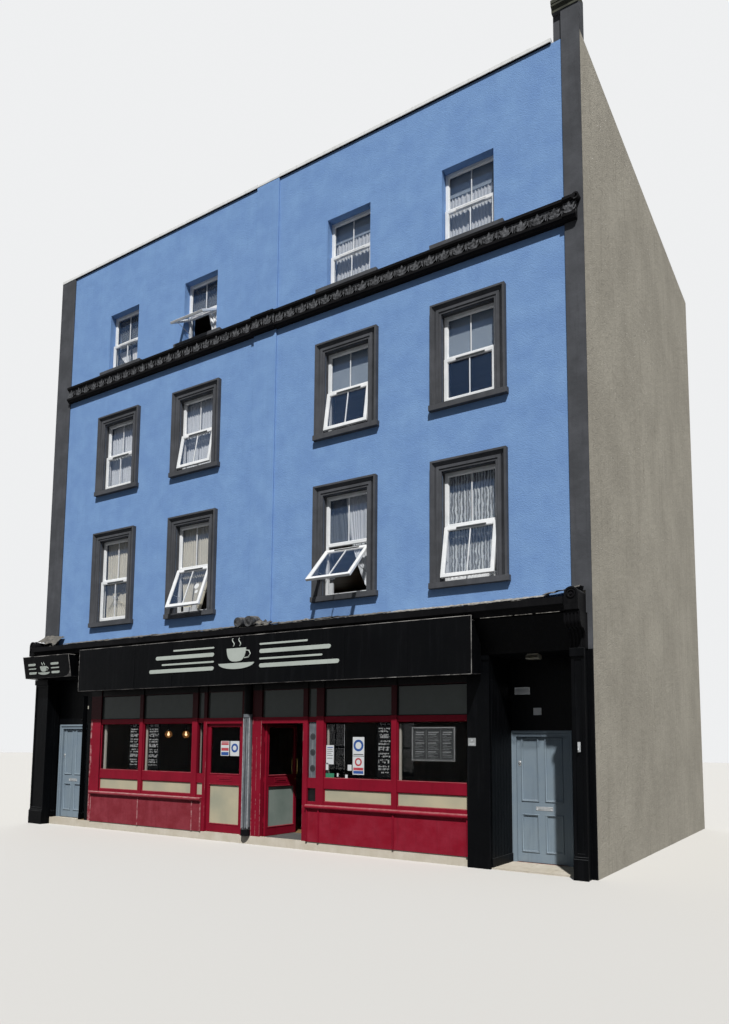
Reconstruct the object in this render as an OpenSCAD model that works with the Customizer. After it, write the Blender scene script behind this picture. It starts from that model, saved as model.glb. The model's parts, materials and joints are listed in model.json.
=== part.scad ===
// Pair of four-storey terraced houses with one café shopfront across the ground floor.
// Millimetres. X runs along the street front, the street is on the -Y side, Z is up.
// The origin is at pavement level under the middle of the walls.

/* [House] */
// Width across both party walls
house_w = 12660; // [12400:10:13600]
// Depth from the street front to the back wall
house_d = 9000; // [6000:50:12000]
// Thickness of the front and back walls
wall_t = 330; // [280:5:420]
// Thickness of the party walls
party_t = 230; // [200:5:300]

/* [Levels] */
// Floor level of the shop above the lowest pavement
shop_floor_z = 150; // [100:5:190]
// Floor level of the right-hand entry
entry_floor_z = 20; // [10:1:40]
// Level of the first floor
first_z = 3900; // [3850:10:4000]
// Height of an upper storey from floor to floor
storey_h = 2980; // [2900:10:3100]
// Height from the third floor to the top of the roof deck
top_storey_h = 2600; // [2300:10:2700]
// Thickness of the floors
floor_t = 250; // [150:10:300]
// Height of the front parapet above the roof deck
parapet_h = 570; // [300:10:700]

/* [Upper windows] */
// Distance between the two windows of one house
window_pitch = 2370; // [2200:10:2600]
// Middle of the left house's pair of windows
left_pair_x = -2852; // [-2950:1:-2800]
// Middle of the right house's pair of windows
right_pair_x = 3233; // [3150:1:3280]
// Width of a window opening
window_w = 940; // [800:10:1000]
// Height of the first-floor openings
first_window_h = 1850; // [1600:10:1900]
// Height of the second-floor openings
second_window_h = 1560; // [1400:10:1650]
// Height of the third-floor openings
third_window_h = 1370; // [1100:10:1400]
// Height of the first-floor openings above the floor
first_sill_h = 570; // [500:10:650]
// Height of the second-floor openings above the floor
second_sill_h = 600; // [530:10:680]
// Height of the third-floor openings above the floor
third_sill_h = 445; // [420:5:520]
// How far the frames with a moulded surround stand back from the wall face
shallow_reveal_d = 85; // [70:5:120]
// How far the third-floor and back frames stand back
reveal_d = 150; // [120:5:160]
// Height of the first-floor lower lights
first_light_h = 861; // [700:1:900]
// Height of the second-floor lower lights
second_light_h = 728; // [600:1:780]
// Height of the third-floor lower lights
third_light_h = 600; // [500:5:700]
// Width of the moulded surround on each side
surround_w = 192; // [150:2:230]

/* [Front trim] */
// Width of the left full-height pilaster
left_pilaster_w = 496; // [420:2:560]
// Width of the right full-height pilaster
right_pilaster_w = 287; // [250:1:320]
// How far the pilasters stand out from the wall
pilaster_out = 30; // [20:5:60]
// Middle of the flat strip between the two houses
strip_x = 132; // [100:1:160]
// Width of the flat strip
strip_w = 561; // [400:1:600]
// How far the strip stands out
strip_out = 35; // [20:1:38]
// Height of the leaf-carved string course
string_h = 360; // [300:5:400]
// Distance from one carved palmette to the next
palmette_pitch = 260; // [220:5:320]
// Height of the raised pier over the right pilaster
pier_rise = 470; // [300:10:700]

/* [Shopfront] */
// Underside of the wall above the shop
lintel_z = 3250; // [3200:10:3300]
// Underside of the shop cornice
cornice_z = 3750; // [3700:10:3800]
// Height of the shop cornice
cornice_h = 210; // [150:5:230]
// How far the shop cornice stands out
cornice_out = 500; // [400:10:560]
// Underside of the long sign board
sign_z = 2915; // [2880:5:2960]
// Length of the long sign board
sign_w = 9120; // [8600:10:9200]
// Depth of the shop frame members
frame_t = 100; // [80:5:120]
// Top of the low panels, where the ledge sits
stallriser_z = 730; // [680:5:780]
// Bottom of the display glass
display_z = 1255; // [1200:5:1300]
// Top of the display glass
transom_z = 2240; // [2200:5:2280]
// Height of the transom rail
transom_h = 90; // [70:5:110]
// Top of the transom glass
head_z = 2830; // [2780:5:2900]
// Diameter of the iron column between the café doors
column_d = 190; // [150:2:200]
// Middle of the iron column
column_x = -80; // [-150:5:50]
// Width of the outer bay of the left shop window
bay_l1_w = 1220; // [1000:10:1300]
// Width of the inner bay of the right shop window
bay_r1_w = 1360; // [1200:10:1450]
// Width of the porch in front of the right house door
porch_w = 1580; // [1450:10:1650]

/* [Doors] */
// Width of the left café door opening
door_l_w = 900; // [850:10:950]
// Width of the right café door opening
door_r_w = 950; // [880:10:980]
// Depth of the left house door behind the wall face
left_recess = 150; // [100:5:220]
// Depth of the right house door behind the wall face
right_recess = 850; // [700:10:1000]
// Width of the left house door frame
left_frame_w = 870; // [840:1:890]
// Width of the right house door frame
right_frame_w = 942; // [880:1:980]
// Height of the house door frames
door_frame_h = 2050; // [2000:5:2100]
// Thickness of a door leaf
leaf_t = 44; // [38:1:50]
// Clearance round a door leaf
door_gap = 7; // [6:1:9]

/* [Hidden] */
$fn = 48;

// Colours
wall_blue = "#7EA0CF";
trim_grey = "#55514F";
shop_black = "#17171A";
maroon = "#8A1A2E";
door_grey = "#72869A";
upvc_white = "#E9ECEE";
coping_white = "#D9DCDD";
glass_tint = [0.42, 0.48, 0.5, 0.5];
timber_floor = "#A98F6C";
render_plain = "#B9B4A8";

// House levels and planes
left_x = -house_w / 2;
right_x = house_w / 2;
inner_l = left_x + party_t;
inner_r = right_x - party_t;
front_y = -house_d / 2;
back_y = house_d / 2;
second_z = first_z + storey_h;
third_z = second_z + storey_h;
roof_z = third_z + top_storey_h;
parapet_z = roof_z + parapet_h;
coping_h = 80;
coping_over = 40;

// Upper windows
window_xs = [
    left_pair_x - window_pitch / 2, left_pair_x + window_pitch / 2,
    right_pair_x - window_pitch / 2, right_pair_x + window_pitch / 2
];
frame_bar = 55;
frame_d = 60;
sash_bar = 60;
sash_d = 50;
sash_side_gap = 12;
pane_t = 8;
first_sill_z = first_z + first_sill_h;
second_sill_z = second_z + second_sill_h;
third_sill_z = third_z + third_sill_h;
// Each storey: sill level, opening height, height of the lower light, reveal
storeys = [
    [first_sill_z, first_window_h, first_light_h, shallow_reveal_d],
    [second_sill_z, second_window_h, second_light_h, shallow_reveal_d],
    [third_sill_z, third_window_h, third_light_h, reveal_d]
];
// How far each lower sash stands open, in degrees, by storey and column
sash_angles = [[0, 21, 44, 11], [0, 10, 9, 0], [0, 60, 0, 0]];
// How far the stays let the top of each sash slide down
sash_drops = [[0, 20, 110, 10], [0, 10, 10, 0], [0, 100, 0, 0]];
stone_sill_t = 80;
stone_sill_lug = 190;
stone_sill_out = 110;
string_top_z = third_sill_z - stone_sill_t;
string_out = 120;
carving_out = 34;
scroll_end = 85;
scroll_d = 110;
// Bands of the surround from the outer edge inwards: start, how far it stands out
surround_bands = [[0, 90], [36, 30], [102, 60], [140, 46]];
surround_sill_t = 95;
sill_lug = 26;
surround_sill_out = 94;
curtain_gap = 30;
curtain_t = 20;

// Shopfront, positions along the street front: the doors hang beside the column,
// the entries start from the party walls, and two bays fill what lies between
left_low_w = 455;
left_lining_w = 81;
left_jamb_w = 344;
left_strip_w = 100;
post_l_w = 320;
bar_w = 100;
wide_bar_w = 140;
slit_l_w = 170;
slit_r_w = 190;
door_post_w = 80;
door_side_w = 60;
column_gap = 5;
door_r_post_w = 220;
slit_r_bar_w = 160;
door_r_side_w = 100;
left_wall_x = left_x + left_pilaster_w;
left_entry_x = left_x + left_low_w;
left_frame_x = left_entry_x + left_lining_w;
left_jamb_x = left_frame_x + left_frame_w;
shop_x0 = left_jamb_x + left_jamb_w;
door_l_x = column_x - column_d / 2 - column_gap - door_side_w - door_l_w;
slit_l_x = door_l_x - door_post_w - slit_l_w;
bay_l1_x = shop_x0 + post_l_w;
bay_l2_x = bay_l1_x + bay_l1_w + bar_w;
bay_l2_w = slit_l_x - wide_bar_w - bay_l2_x;
door_r_x = column_x + column_d / 2 + column_gap + door_r_post_w;
slit_r_x = door_r_x + door_r_w + door_r_side_w;
bay_r1_x = slit_r_x + slit_r_w + slit_r_bar_w;
bay_r2_x = bay_r1_x + bay_r1_w + bar_w;
pier_w = 370;
pier_out = 50;
right_entry_x = right_x - porch_w;
pier_x = right_entry_x - pier_w;
bay_r2_w = pier_x - bay_r2_x;
right_lining_w = 16;
right_frame_x = right_entry_x + right_lining_w;
low_pilaster_x = right_x - 270;
low_pilaster_w = 190;
low_pilaster_out = 200;
plinth_h = 290;
lining_t = 100;
rail_t = 60;
glass_t = 8;
ledge_h = 70;
ledge_out = 70;
panel_out = 14;
bead_w = 30;
bead_out = 22;
post_edge_w = 100;
frosted_z = 845;
frosted_h = 215;
jamb_w = 50;
stop_w = 15;
stop_t = 38;
cafe_stile = 60;
cafe_top_rail = 45;
cafe_foot = 150;
cafe_head_z = transom_z - 20;
cafe_leaf_back = frame_t - 10;
cafe_panel_h = 755;
leaf_y = stop_t + door_gap;
knuckle_d = 12;
knuckle_h = 100;
knuckle_gap = 0.3;
// The hinge pin stands this far behind the leaf's inner face
pin_back = sqrt(pow(knuckle_d / 2 + knuckle_gap, 2) - pow(door_gap / 2, 2));
fascia_foot = 40;
fascia_head = 340;
sign_end_gap = 95;
sign_out = 480;
sign_rise = 65;
sign_x = right_entry_x - sign_end_gap - sign_w;
sign_back = 115;
door_sign_x = left_x + 20;
door_sign_gap = 230;
door_sign_w = sign_x - door_sign_gap - door_sign_x;
eps = 1;

// Helper shapes

// Moves its children so that y = 0 is the street face of the front wall
module on_front() {
    translate([0, front_y, 0]) children();
}

// A box given by its two opposite corners
module block(low, high) {
    translate(low) cube(high - low);
}

// A rectangular ring standing in the XZ plane
module ring(w, h, bar, d) {
    difference() {
        cube([w, d, h]);
        translate([bar, -eps, bar]) cube([w - 2 * bar, d + 2 * eps, h - 2 * bar]);
    }
}

// Runs a profile drawn in (distance out from the wall, height) along X
module run_along(x0, length) {
    translate([x0, 0, 0]) rotate([90, 0, 90]) linear_extrude(height = length) mirror([1, 0]) children();
}

// Floors and walls

module ground_floor() {
    hall_x = right_entry_x - lining_t;
    color(timber_floor) difference() {
        union() {
            block([inner_l, front_y, 0], [hall_x, back_y - wall_t, shop_floor_z]);
            block([hall_x, front_y, 0], [inner_r, back_y - wall_t, entry_floor_z]);
        }
        block([pier_x, front_y - eps, -eps], [right_entry_x, front_y + frame_t, shop_floor_z + eps]);
    }
}

module upper_floor(z) {
    color(timber_floor)
    block([inner_l, front_y + wall_t, z - floor_t], [inner_r, back_y - wall_t, z]);
}

module roof_deck() {
    color("#77787A")
    block([inner_l, front_y + wall_t, roof_z - floor_t], [inner_r, back_y - wall_t, roof_z]);
}

module front_wall() {
    color(wall_blue) on_front() difference() {
        block([inner_l, 0, lintel_z], [inner_r, wall_t, parapet_z]);
        for (storey = storeys, x = window_xs)
            translate([x - window_w / 2, -eps, storey[0]]) cube([window_w, wall_t + 2 * eps, storey[1]]);
    }
}

module party_wall(x) {
    color(render_plain) block([x, front_y, 0], [x + party_t, back_y, parapet_z]);
}

// The back wall repeats the window openings of the front on every storey
back_ground_sill_h = 900;
back_ground_sill_z = shop_floor_z + back_ground_sill_h;
back_ground_h = 1500;
back_ground_light_h = 660;
back_rows = concat([[back_ground_sill_z, back_ground_h, back_ground_light_h]], storeys);

module back_wall() {
    color(render_plain) difference() {
        block([inner_l, back_y - wall_t, 0], [inner_r, back_y, parapet_z]);
        for (row = back_rows, x = window_xs)
            translate([x - window_w / 2, back_y - wall_t - eps, row[0]])
                cube([window_w, wall_t + 2 * eps, row[1]]);
    }
}

module back_window_frames() {
    color(upvc_white)
    for (row = back_rows, x = window_xs)
        translate([x - window_w / 2, back_y - reveal_d, row[0]]) window_frame(row[1], row[2]);
}

module back_window_glass() {
    color(glass_tint)
    for (row = back_rows, x = window_xs)
        translate([x - window_w / 2 + frame_bar, back_y - reveal_d + frame_d / 2, row[0] + frame_bar]) {
            cube([window_w - 2 * frame_bar, pane_t, row[2]]);
            translate([0, 0, row[2] + frame_bar])
                cube([window_w - 2 * frame_bar, pane_t, upper_light_h(row[1], row[2])]);
        }
}

module back_window_sills() {
    color(trim_grey)
    for (row = back_rows, x = window_xs)
        translate([x - window_w / 2, back_y, row[0] - stone_sill_t])
            cube([window_w, stone_sill_out, stone_sill_t]);
}

// Windows

// Height of the light above the meeting rail
function upper_light_h(h, low_h) = h - 3 * frame_bar - low_h;

module window_frame(h, low_h) {
    difference() {
        cube([window_w, frame_d, h]);
        translate([frame_bar, -eps, frame_bar])
            cube([window_w - 2 * frame_bar, frame_d + 2 * eps, low_h]);
        translate([frame_bar, -eps, 2 * frame_bar + low_h])
            cube([window_w - 2 * frame_bar, frame_d + 2 * eps, upper_light_h(h, low_h)]);
    }
}

module window_frames() {
    color(upvc_white) on_front()
    for (storey = storeys, x = window_xs)
        translate([x - window_w / 2, storey[3], storey[0]]) window_frame(storey[1], storey[2]);
}

// Puts its children in the frame of one opening sash: x along the sash, z up, y = 0 at its back
module at_sash(storey_index, column_index) {
    storey = storeys[storey_index];
    top = storey[0] + frame_bar + storey[2] + sash_overlap - sash_drops[storey_index][column_index];
    on_front() translate([window_xs[column_index] - sash_w / 2, storey[3], top])
        rotate([-sash_angles[storey_index][column_index], 0, 0]) children();
}

sash_overlap = 12;
sash_w = window_w - 2 * sash_side_gap;
function sash_full_h(storey) = storey[2] + 2 * sash_overlap;

module opening_sashes() {
    color(upvc_white)
    for (i = [0 : len(storeys) - 1], j = [0 : len(window_xs) - 1])
        at_sash(i, j) translate([0, -sash_d, -sash_full_h(storeys[i])])
            ring(sash_w, sash_full_h(storeys[i]), sash_bar, sash_d);
}

module window_glass() {
    color(glass_tint) {
        on_front() for (storey = storeys, x = window_xs)
            translate([x - window_w / 2 + frame_bar, storey[3] + frame_d / 2,
                       storey[0] + 2 * frame_bar + storey[2]])
                cube([window_w - 2 * frame_bar, pane_t, upper_light_h(storey[1], storey[2])]);
        for (i = [0 : len(storeys) - 1], j = [0 : len(window_xs) - 1])
            at_sash(i, j)
                translate([sash_bar, -sash_d / 2, sash_bar - sash_full_h(storeys[i])])
                    cube([sash_w - 2 * sash_bar, pane_t, sash_full_h(storeys[i]) - 2 * sash_bar]);
    }
}

module net_curtains() {
    color("#EFEDE6") on_front()
    for (storey = storeys, x = window_xs)
        translate([x - window_w / 2 + curtain_gap, storey[3] + frame_d + curtain_gap, storey[0] + curtain_gap])
            cube([window_w - 2 * curtain_gap, curtain_t, storey[1] - curtain_gap]);
}

// Where a band of the surround ends, counted from the outer edge
function band_end(i) = i + 1 < len(surround_bands) ? surround_bands[i + 1][0] : surround_w;

// Mitred bands over the head and down both sides, from a raised outer fillet through a sunk band
// to the opening, all standing on a projecting sill
module window_surround(x, z, h) {
    for (i = [0 : len(surround_bands) - 1]) {
        reach = surround_w - surround_bands[i][0];
        inner = surround_w - band_end(i);
        out = surround_bands[i][1];
        translate([x, -out, z - surround_sill_t]) difference() {
            translate([-window_w / 2 - reach, 0, 0])
                cube([window_w + 2 * reach, out, h + surround_sill_t + reach]);
            translate([-window_w / 2 - inner, -eps, -eps])
                cube([window_w + 2 * inner, out + 2 * eps, h + surround_sill_t + inner + eps]);
        }
    }
    translate([x - window_w / 2 - surround_w - sill_lug, -surround_sill_out, z - surround_sill_t])
        cube([window_w + 2 * (surround_w + sill_lug), surround_sill_out, surround_sill_t]);
}

module window_surrounds() {
    color(trim_grey) on_front()
    for (storey = [storeys[0], storeys[1]], x = window_xs)
        window_surround(x, storey[0], storey[1]);
}

module third_floor_sills() {
    color(trim_grey) on_front()
    for (x = window_xs)
        translate([x - window_w / 2 - stone_sill_lug, -stone_sill_out, string_top_z])
            cube([window_w + 2 * stone_sill_lug, stone_sill_out, stone_sill_t]);
}

// Front trim

shop_top_z = cornice_z + cornice_h;
left_pilaster_base_z = shop_top_z + 100;
console_w = 200;
console_block_h = 330;
console_neck_h = 30;
console_top_z = cornice_z + console_neck_h + console_block_h;
console_inset = 286;
console_x = right_x - console_inset;
corbel_w = 236;
corbel_x = console_x + console_w / 2 - corbel_w / 2;

module centre_strip() {
    color(wall_blue) on_front()
    block([strip_x - strip_w / 2, -strip_out, left_pilaster_base_z], [strip_x + strip_w / 2, 0, parapet_z]);
}

module left_pilaster() {
    color(trim_grey) on_front() {
        block([left_x, -pilaster_out, console_top_z], [left_x + console_w, 0, parapet_z]);
        block([left_x + console_w, -pilaster_out, left_pilaster_base_z],
              [left_x + left_pilaster_w, 0, parapet_z]);
    }
}

cap_h = 190;
cap_out = 90;
cap_step = 50;
cap_cove_h = 80;
pier_back_w = 138;
pier_set_back = 30;
coping_end_gap = 25;
pier_back_x = right_x - right_pilaster_w - pier_back_w;

// Pier cap in section, distance out from the wall face and height: bed, cove and top slab
module cap_profile(face) {
    translate([-party_t, 0]) square([party_t + face + 15, cap_step]);
    difference() {
        translate([-party_t, cap_step]) square([party_t + cap_out - 8, cap_cove_h]);
        translate([cap_out - 8, cap_step]) circle(r = cap_out - face - 23);
    }
    translate([-party_t, cap_step + cap_cove_h]) square([party_t + cap_out, cap_h - cap_step - cap_cove_h]);
}

module right_pilaster() {
    top = parapet_z + pier_rise;
    face_x = right_x - right_pilaster_w;
    color(trim_grey) on_front() {
        block([face_x, -pilaster_out, console_top_z], [right_x, 0, top]);
        block([pier_back_x, pier_set_back, parapet_z], [face_x, party_t, top]);
        block([face_x, 0, parapet_z], [right_x, party_t, top]);
        translate([0, 0, top]) run_along(pier_back_x, right_x - pier_back_x) cap_profile(pilaster_out);
        block([console_x + console_w, -pilaster_out, console_top_z - console_block_h],
              [right_x, 0, console_top_z]);
        block([corbel_x + corbel_w, -pilaster_out, lintel_z], [right_x, 0, console_top_z - console_block_h]);
    }
}

// One length of coping: a slab that overhangs the wall
module coping_length(x0, x1, h) {
    block([x0, -coping_over, parapet_z], [x1, wall_t, parapet_z + h]);
}

module parapet_coping() {
    strip_l = strip_x - strip_w / 2;
    strip_r = strip_x + strip_w / 2;
    color(coping_white) on_front() {
        coping_length(left_x, strip_l, coping_h);
        coping_length(strip_l, strip_r, coping_h - 20);
        coping_length(strip_r, pier_back_x - coping_end_gap, coping_h);
    }
}

// Moulded profile of the string course, with a sunk band for the carving: distance out, height
string_top_h = 70;
string_foot_h = 85;
frieze_out = string_out - 50;

module string_profile() {
    difference() {
        square([string_out, string_h]);
        translate([frieze_out, string_foot_h]) square([string_out, string_h - string_foot_h - string_top_h]);
        translate([string_out, 0]) circle(r = 42);
        translate([string_out, string_h - string_top_h]) circle(r = 24);
    }
}

// Pointed leaf with its foot at the origin, between two equal arcs
module leaf(w, h) {
    r = (h * h + w * w) / (4 * w);
    intersection() {
        translate([w / 2 - r, h / 2]) circle(r = r);
        translate([r - w / 2, h / 2]) circle(r = r);
    }
}

// Palmette: a tall middle leaf, two leaves leaning out and two curling low, on a round bud
module palmette(h) {
    translate([0, h * 0.06]) leaf(h * 0.32, h * 0.94);
    for (side = [-1, 1]) {
        rotate(side * 30) translate([0, h * 0.06]) leaf(h * 0.24, h * 0.84);
        rotate(side * 58) translate([0, h * 0.06]) leaf(h * 0.16, h * 0.6);
    }
    circle(r = h * 0.17);
}

// A row of palmettes with a dart after each, standing "relief" out from the sunk band
module palmette_row(length, h) {
    count = max(1, floor(length / palmette_pitch));
    pitch = length / count;
    for (i = [0 : count - 1]) {
        translate([pitch * (i + 0.5), 0]) palmette(h);
        if (i + 1 < count) translate([pitch * (i + 1), h * 0.1]) leaf(h * 0.16, h * 0.7);
    }
}

// One length of the string course between x0 and x1, its back "back" out from the wall
module string_length(x0, x1, back) {
    relief_h = string_h - string_foot_h - string_top_h - 12;
    translate([0, -back, string_top_z - string_h]) {
        run_along(x0, x1 - x0) string_profile();
        translate([x0, -frieze_out + eps, string_foot_h])
            rotate([90, 0, 0]) linear_extrude(height = carving_out + eps) intersection() {
                palmette_row(x1 - x0, relief_h);
                translate([0, -eps]) square([x1 - x0, relief_h + eps]);
            }
    }
}

// The course ends on the right pilaster in a scroll
module string_scroll() {
    translate([right_x - scroll_end, -pilaster_out - string_out, string_top_z - scroll_d / 2 + 20])
        rotate([-90, 0, 0]) difference() {
            cylinder(h = string_out, d = scroll_d);
            translate([0, 0, -eps]) cylinder(h = string_out / 3 + eps, d = scroll_d - 50);
        }
}

module string_course() {
    color(shop_black) on_front() {
        string_length(left_wall_x, strip_x - strip_w / 2, 0);
        string_length(strip_x - strip_w / 2, strip_x + strip_w / 2, strip_out);
        string_length(strip_x + strip_w / 2, right_x - right_pilaster_w, 0);
        string_length(right_x - right_pilaster_w, right_x - scroll_end, pilaster_out);
        string_scroll();
    }
}

// Shop cornice, fascia and signs

module cornice_profile() {
    difference() {
        square([cornice_out, cornice_h]);
        translate([cornice_out, 0]) circle(r = 110);
        translate([cornice_out - 150, -20]) circle(r = 60);
    }
    translate([0, cornice_h]) polygon([[0, 0], [cornice_out, 0], [0, 100]]);
}

cornice_x0 = left_x + console_w;
cornice_x1 = console_x;
fascia_x1 = corbel_x;

module shop_cornice() {
    color(shop_black) on_front() translate([0, 0, cornice_z])
        run_along(cornice_x0, cornice_x1 - cornice_x0) cornice_profile();
}

// The old fascia leans out from its foot to the cornice
module fascia_profile() {
    polygon([[0, lintel_z], [fascia_foot, lintel_z], [fascia_head, cornice_z], [0, cornice_z]]);
}

module old_fascia() {
    color(shop_black) on_front() run_along(cornice_x0, fascia_x1 - cornice_x0) fascia_profile();
}

// Distance that the canted fascia stands out at height z
function fascia_at(z) = fascia_foot + (fascia_head - fascia_foot) * (z - lintel_z) / (cornice_z - lintel_z);

// The face of the sign rises a little in front of the hollow under the cornice
module shop_sign() {
    back_z = lintel_z + (sign_back - fascia_foot) * (cornice_z - lintel_z) / (fascia_head - fascia_foot);
    color(shop_black) on_front() run_along(sign_x, sign_w)
        polygon([[sign_back, sign_z + 30], [sign_out, sign_z], [sign_out, cornice_z + sign_rise],
                 [sign_out - 30, cornice_z + sign_rise], [sign_out - 30, cornice_z],
                 [fascia_head, cornice_z], [sign_back, back_z]]);
}

// The sign over the left house door leans out towards its top
module door_sign() {
    low = lintel_z + 5;
    high = cornice_z - 10;
    color(shop_black) on_front() run_along(door_sign_x, door_sign_w)
        polygon([[fascia_at(low), low], [cornice_out, low], [cornice_out + 95, high], [fascia_at(high), high]]);
}

// Console: an arch-topped block that closes the end of the cornice
console_out = 420;
console_rim = 26;
console_sink = 16;
corbel_out = 385;
corbel_foot = 130;
cove_r = 155;
ovolo_r = 100;
flute_sink = 14;
rib_w = 26;
ribs = 5;

module arch(w, h) {
    square([w, h - w / 2]);
    translate([w / 2, h - w / 2]) circle(d = w);
}

module console_block() {
    boss_z = console_block_h - console_w / 2;
    inner_w = console_w - 2 * console_rim;
    difference() {
        rotate([90, 0, 0]) linear_extrude(height = console_out) arch(console_w, console_block_h);
        translate([console_rim, -console_out + console_sink, 40])
            rotate([90, 0, 0]) linear_extrude(height = console_sink + eps)
                arch(inner_w, console_block_h - console_rim - 40);
    }
    translate([console_w / 2, -console_out, boss_z]) rotate([-90, 0, 0]) {
        difference() {
            cylinder(h = console_sink + eps, d = inner_w - 24);
            translate([0, 0, -eps]) cylinder(h = console_sink + eps, d = inner_w - 60);
        }
        cylinder(h = console_sink + eps, d = 34);
    }
    translate([console_rim, -console_out, 40]) cube([inner_w, console_sink + eps, 36]);
}

// Corbel in section: a rounded head over a hollow curve down to a neck, "sunk" inside the full shape
module corbel_profile(sunk) {
    top = cornice_z - lintel_z;
    difference() {
        square([corbel_out - sunk, top]);
        translate([corbel_out - ovolo_r, corbel_foot]) circle(r = cove_r + sunk);
        translate([corbel_out - ovolo_r - cove_r - sunk, -eps])
            square([cove_r + ovolo_r + 2 * sunk, corbel_foot + eps]);
        difference() {
            translate([corbel_out - ovolo_r, corbel_foot]) square([ovolo_r + eps, cove_r + ovolo_r]);
            translate([corbel_out - ovolo_r, corbel_foot + cove_r + ovolo_r]) circle(r = ovolo_r - sunk);
        }
    }
}

// The flutes lie between upright ribs, under a plain listel
module fluted_corbel() {
    listel_h = 18;
    run_along(0, corbel_w) corbel_profile(flute_sink);
    for (i = [0 : ribs - 1])
        run_along(i * (corbel_w - rib_w) / (ribs - 1), rib_w) corbel_profile(0);
    run_along(0, corbel_w) translate([corbel_out - 60, cornice_z - lintel_z - listel_h]) square([60, listel_h]);
}

module console_neck(x) {
    block([x, -console_out + 60, cornice_z], [x + console_w, 0, cornice_z + console_neck_h]);
}

module cornice_consoles() {
    block_z = cornice_z + console_neck_h;
    color(shop_black) on_front() {
        translate([console_x, 0, block_z]) console_block();
        console_neck(console_x);
        translate([corbel_x, 0, lintel_z]) fluted_corbel();
        translate([left_x, 0, block_z]) console_block();
        console_neck(left_x);
        run_along(left_x, console_w) fascia_profile();
    }
}

// Ground-floor front

pilaster_cap_h = 120;
pilaster_cap_out = 30;
panel_margin = 45;
panel_sink = 14;

// Ground-floor pilaster with a sunk panel between its plinth and its cap
module low_pilaster(x, w, lug) {
    panel_z = plinth_h + panel_margin + 30;
    panel_top = lintel_z - pilaster_cap_h - panel_margin;
    difference() {
        block([x, -low_pilaster_out, 0], [x + w, 0, lintel_z]);
        block([x + panel_margin, -low_pilaster_out - eps, panel_z],
              [x + w - panel_margin, -low_pilaster_out + panel_sink, panel_top]);
    }
    block([x - lug, -low_pilaster_out - pilaster_cap_out, 0], [x + w + 10, -low_pilaster_out, plinth_h]);
    block([x - lug, -low_pilaster_out - pilaster_cap_out, lintel_z - pilaster_cap_h],
          [x + w + 10, -low_pilaster_out, lintel_z]);
    block([x - lug, -low_pilaster_out - pilaster_cap_out / 2, plinth_h],
          [x + w + 10, -low_pilaster_out, plinth_h + 30]);
}

module shop_pilasters() {
    color(shop_black) on_front() {
        low_pilaster(left_x, left_low_w, 0);
        low_pilaster(low_pilaster_x, low_pilaster_w, 10);
        block([low_pilaster_x + low_pilaster_w, -pilaster_out, 0], [right_x, 0, lintel_z]);
    }
}

module shop_pier() {
    color(shop_black) on_front() block([pier_x, -pier_out, 0], [right_entry_x, frame_t, lintel_z]);
}

module left_entry_lining() {
    top = shop_floor_z + door_frame_h;
    back = left_recess + lining_t;
    color(shop_black) on_front() {
        block([inner_l, 0, shop_floor_z], [left_entry_x, back, lintel_z]);
        block([left_entry_x, left_recess, shop_floor_z], [left_frame_x, back, lintel_z]);
        block([left_frame_x, left_recess, top], [left_jamb_x, back, lintel_z]);
        block([left_jamb_x, left_recess, shop_floor_z], [shop_x0 - left_strip_w, back, lintel_z]);
        block([shop_x0 - left_strip_w, 0, shop_floor_z], [shop_x0, back, lintel_z]);
    }
}

module right_entry_lining() {
    top = entry_floor_z + door_frame_h;
    back = right_recess + lining_t;
    color(shop_black) on_front() {
        block([right_entry_x - lining_t, frame_t, entry_floor_z], [right_entry_x, right_recess, lintel_z]);
        block([right_entry_x - lining_t, right_recess, entry_floor_z], [right_frame_x, back, lintel_z]);
        block([right_frame_x, right_recess, top], [right_frame_x + right_frame_w, back, lintel_z]);
        block([right_frame_x + right_frame_w, right_recess, entry_floor_z], [inner_r, back, lintel_z]);
        block([right_entry_x - lining_t, wall_t, lintel_z], [inner_r, back, lintel_z + 40]);
    }
}

// A shop window bay: posts are drawn by the caller, this makes its rails
module bay_rails(x, w) {
    block([x, 20, display_z - 180], [x + w, 20 + rail_t, display_z]);
    block([x, 20, transom_z], [x + w, 20 + rail_t, transom_z + transom_h]);
    block([x, 20, head_z], [x + w, 20 + rail_t, lintel_z]);
    block([x, 20, stallriser_z], [x + w, 20 + rail_t, frosted_z]);
}

module post(x, w) {
    block([x, 0, shop_floor_z], [x + w, frame_t, lintel_z]);
}

module left_bay_frame() {
    color(maroon) on_front() {
        post(shop_x0, post_l_w);
        bay_rails(bay_l1_x, bay_l1_w);
        post(bay_l1_x + bay_l1_w, bar_w);
        bay_rails(bay_l2_x, bay_l2_w);
        post(bay_l2_x + bay_l2_w, wide_bar_w);
        bay_rails(slit_l_x, slit_l_w);
    }
}

module right_bay_frame() {
    color(maroon) on_front() {
        bay_rails(slit_r_x, slit_r_w);
        post(slit_r_x + slit_r_w, slit_r_bar_w);
        bay_rails(bay_r1_x, bay_r1_w);
        post(bay_r1_x + bay_r1_w, bar_w);
        bay_rails(bay_r2_x, bay_r2_w);
    }
}

// Posts, transom and head round one café door opening
module cafe_door_frame(x, w, left_post, right_post) {
    post(x - left_post, left_post);
    post(x + w, right_post);
    block([x, 0, cafe_head_z], [x + w, frame_t, transom_z + transom_h]);
    block([x, 20, head_z], [x + w, 20 + rail_t, lintel_z]);
    knuckles(x + door_gap / 2, cafe_leaf_back + pin_back, shop_floor_z, cafe_head_z - shop_floor_z);
}

module cafe_door_frames() {
    color(maroon) on_front() {
        cafe_door_frame(door_l_x, door_l_w, door_post_w, door_side_w);
        cafe_door_frame(door_r_x, door_r_w, door_r_post_w, door_r_side_w);
    }
}

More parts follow.
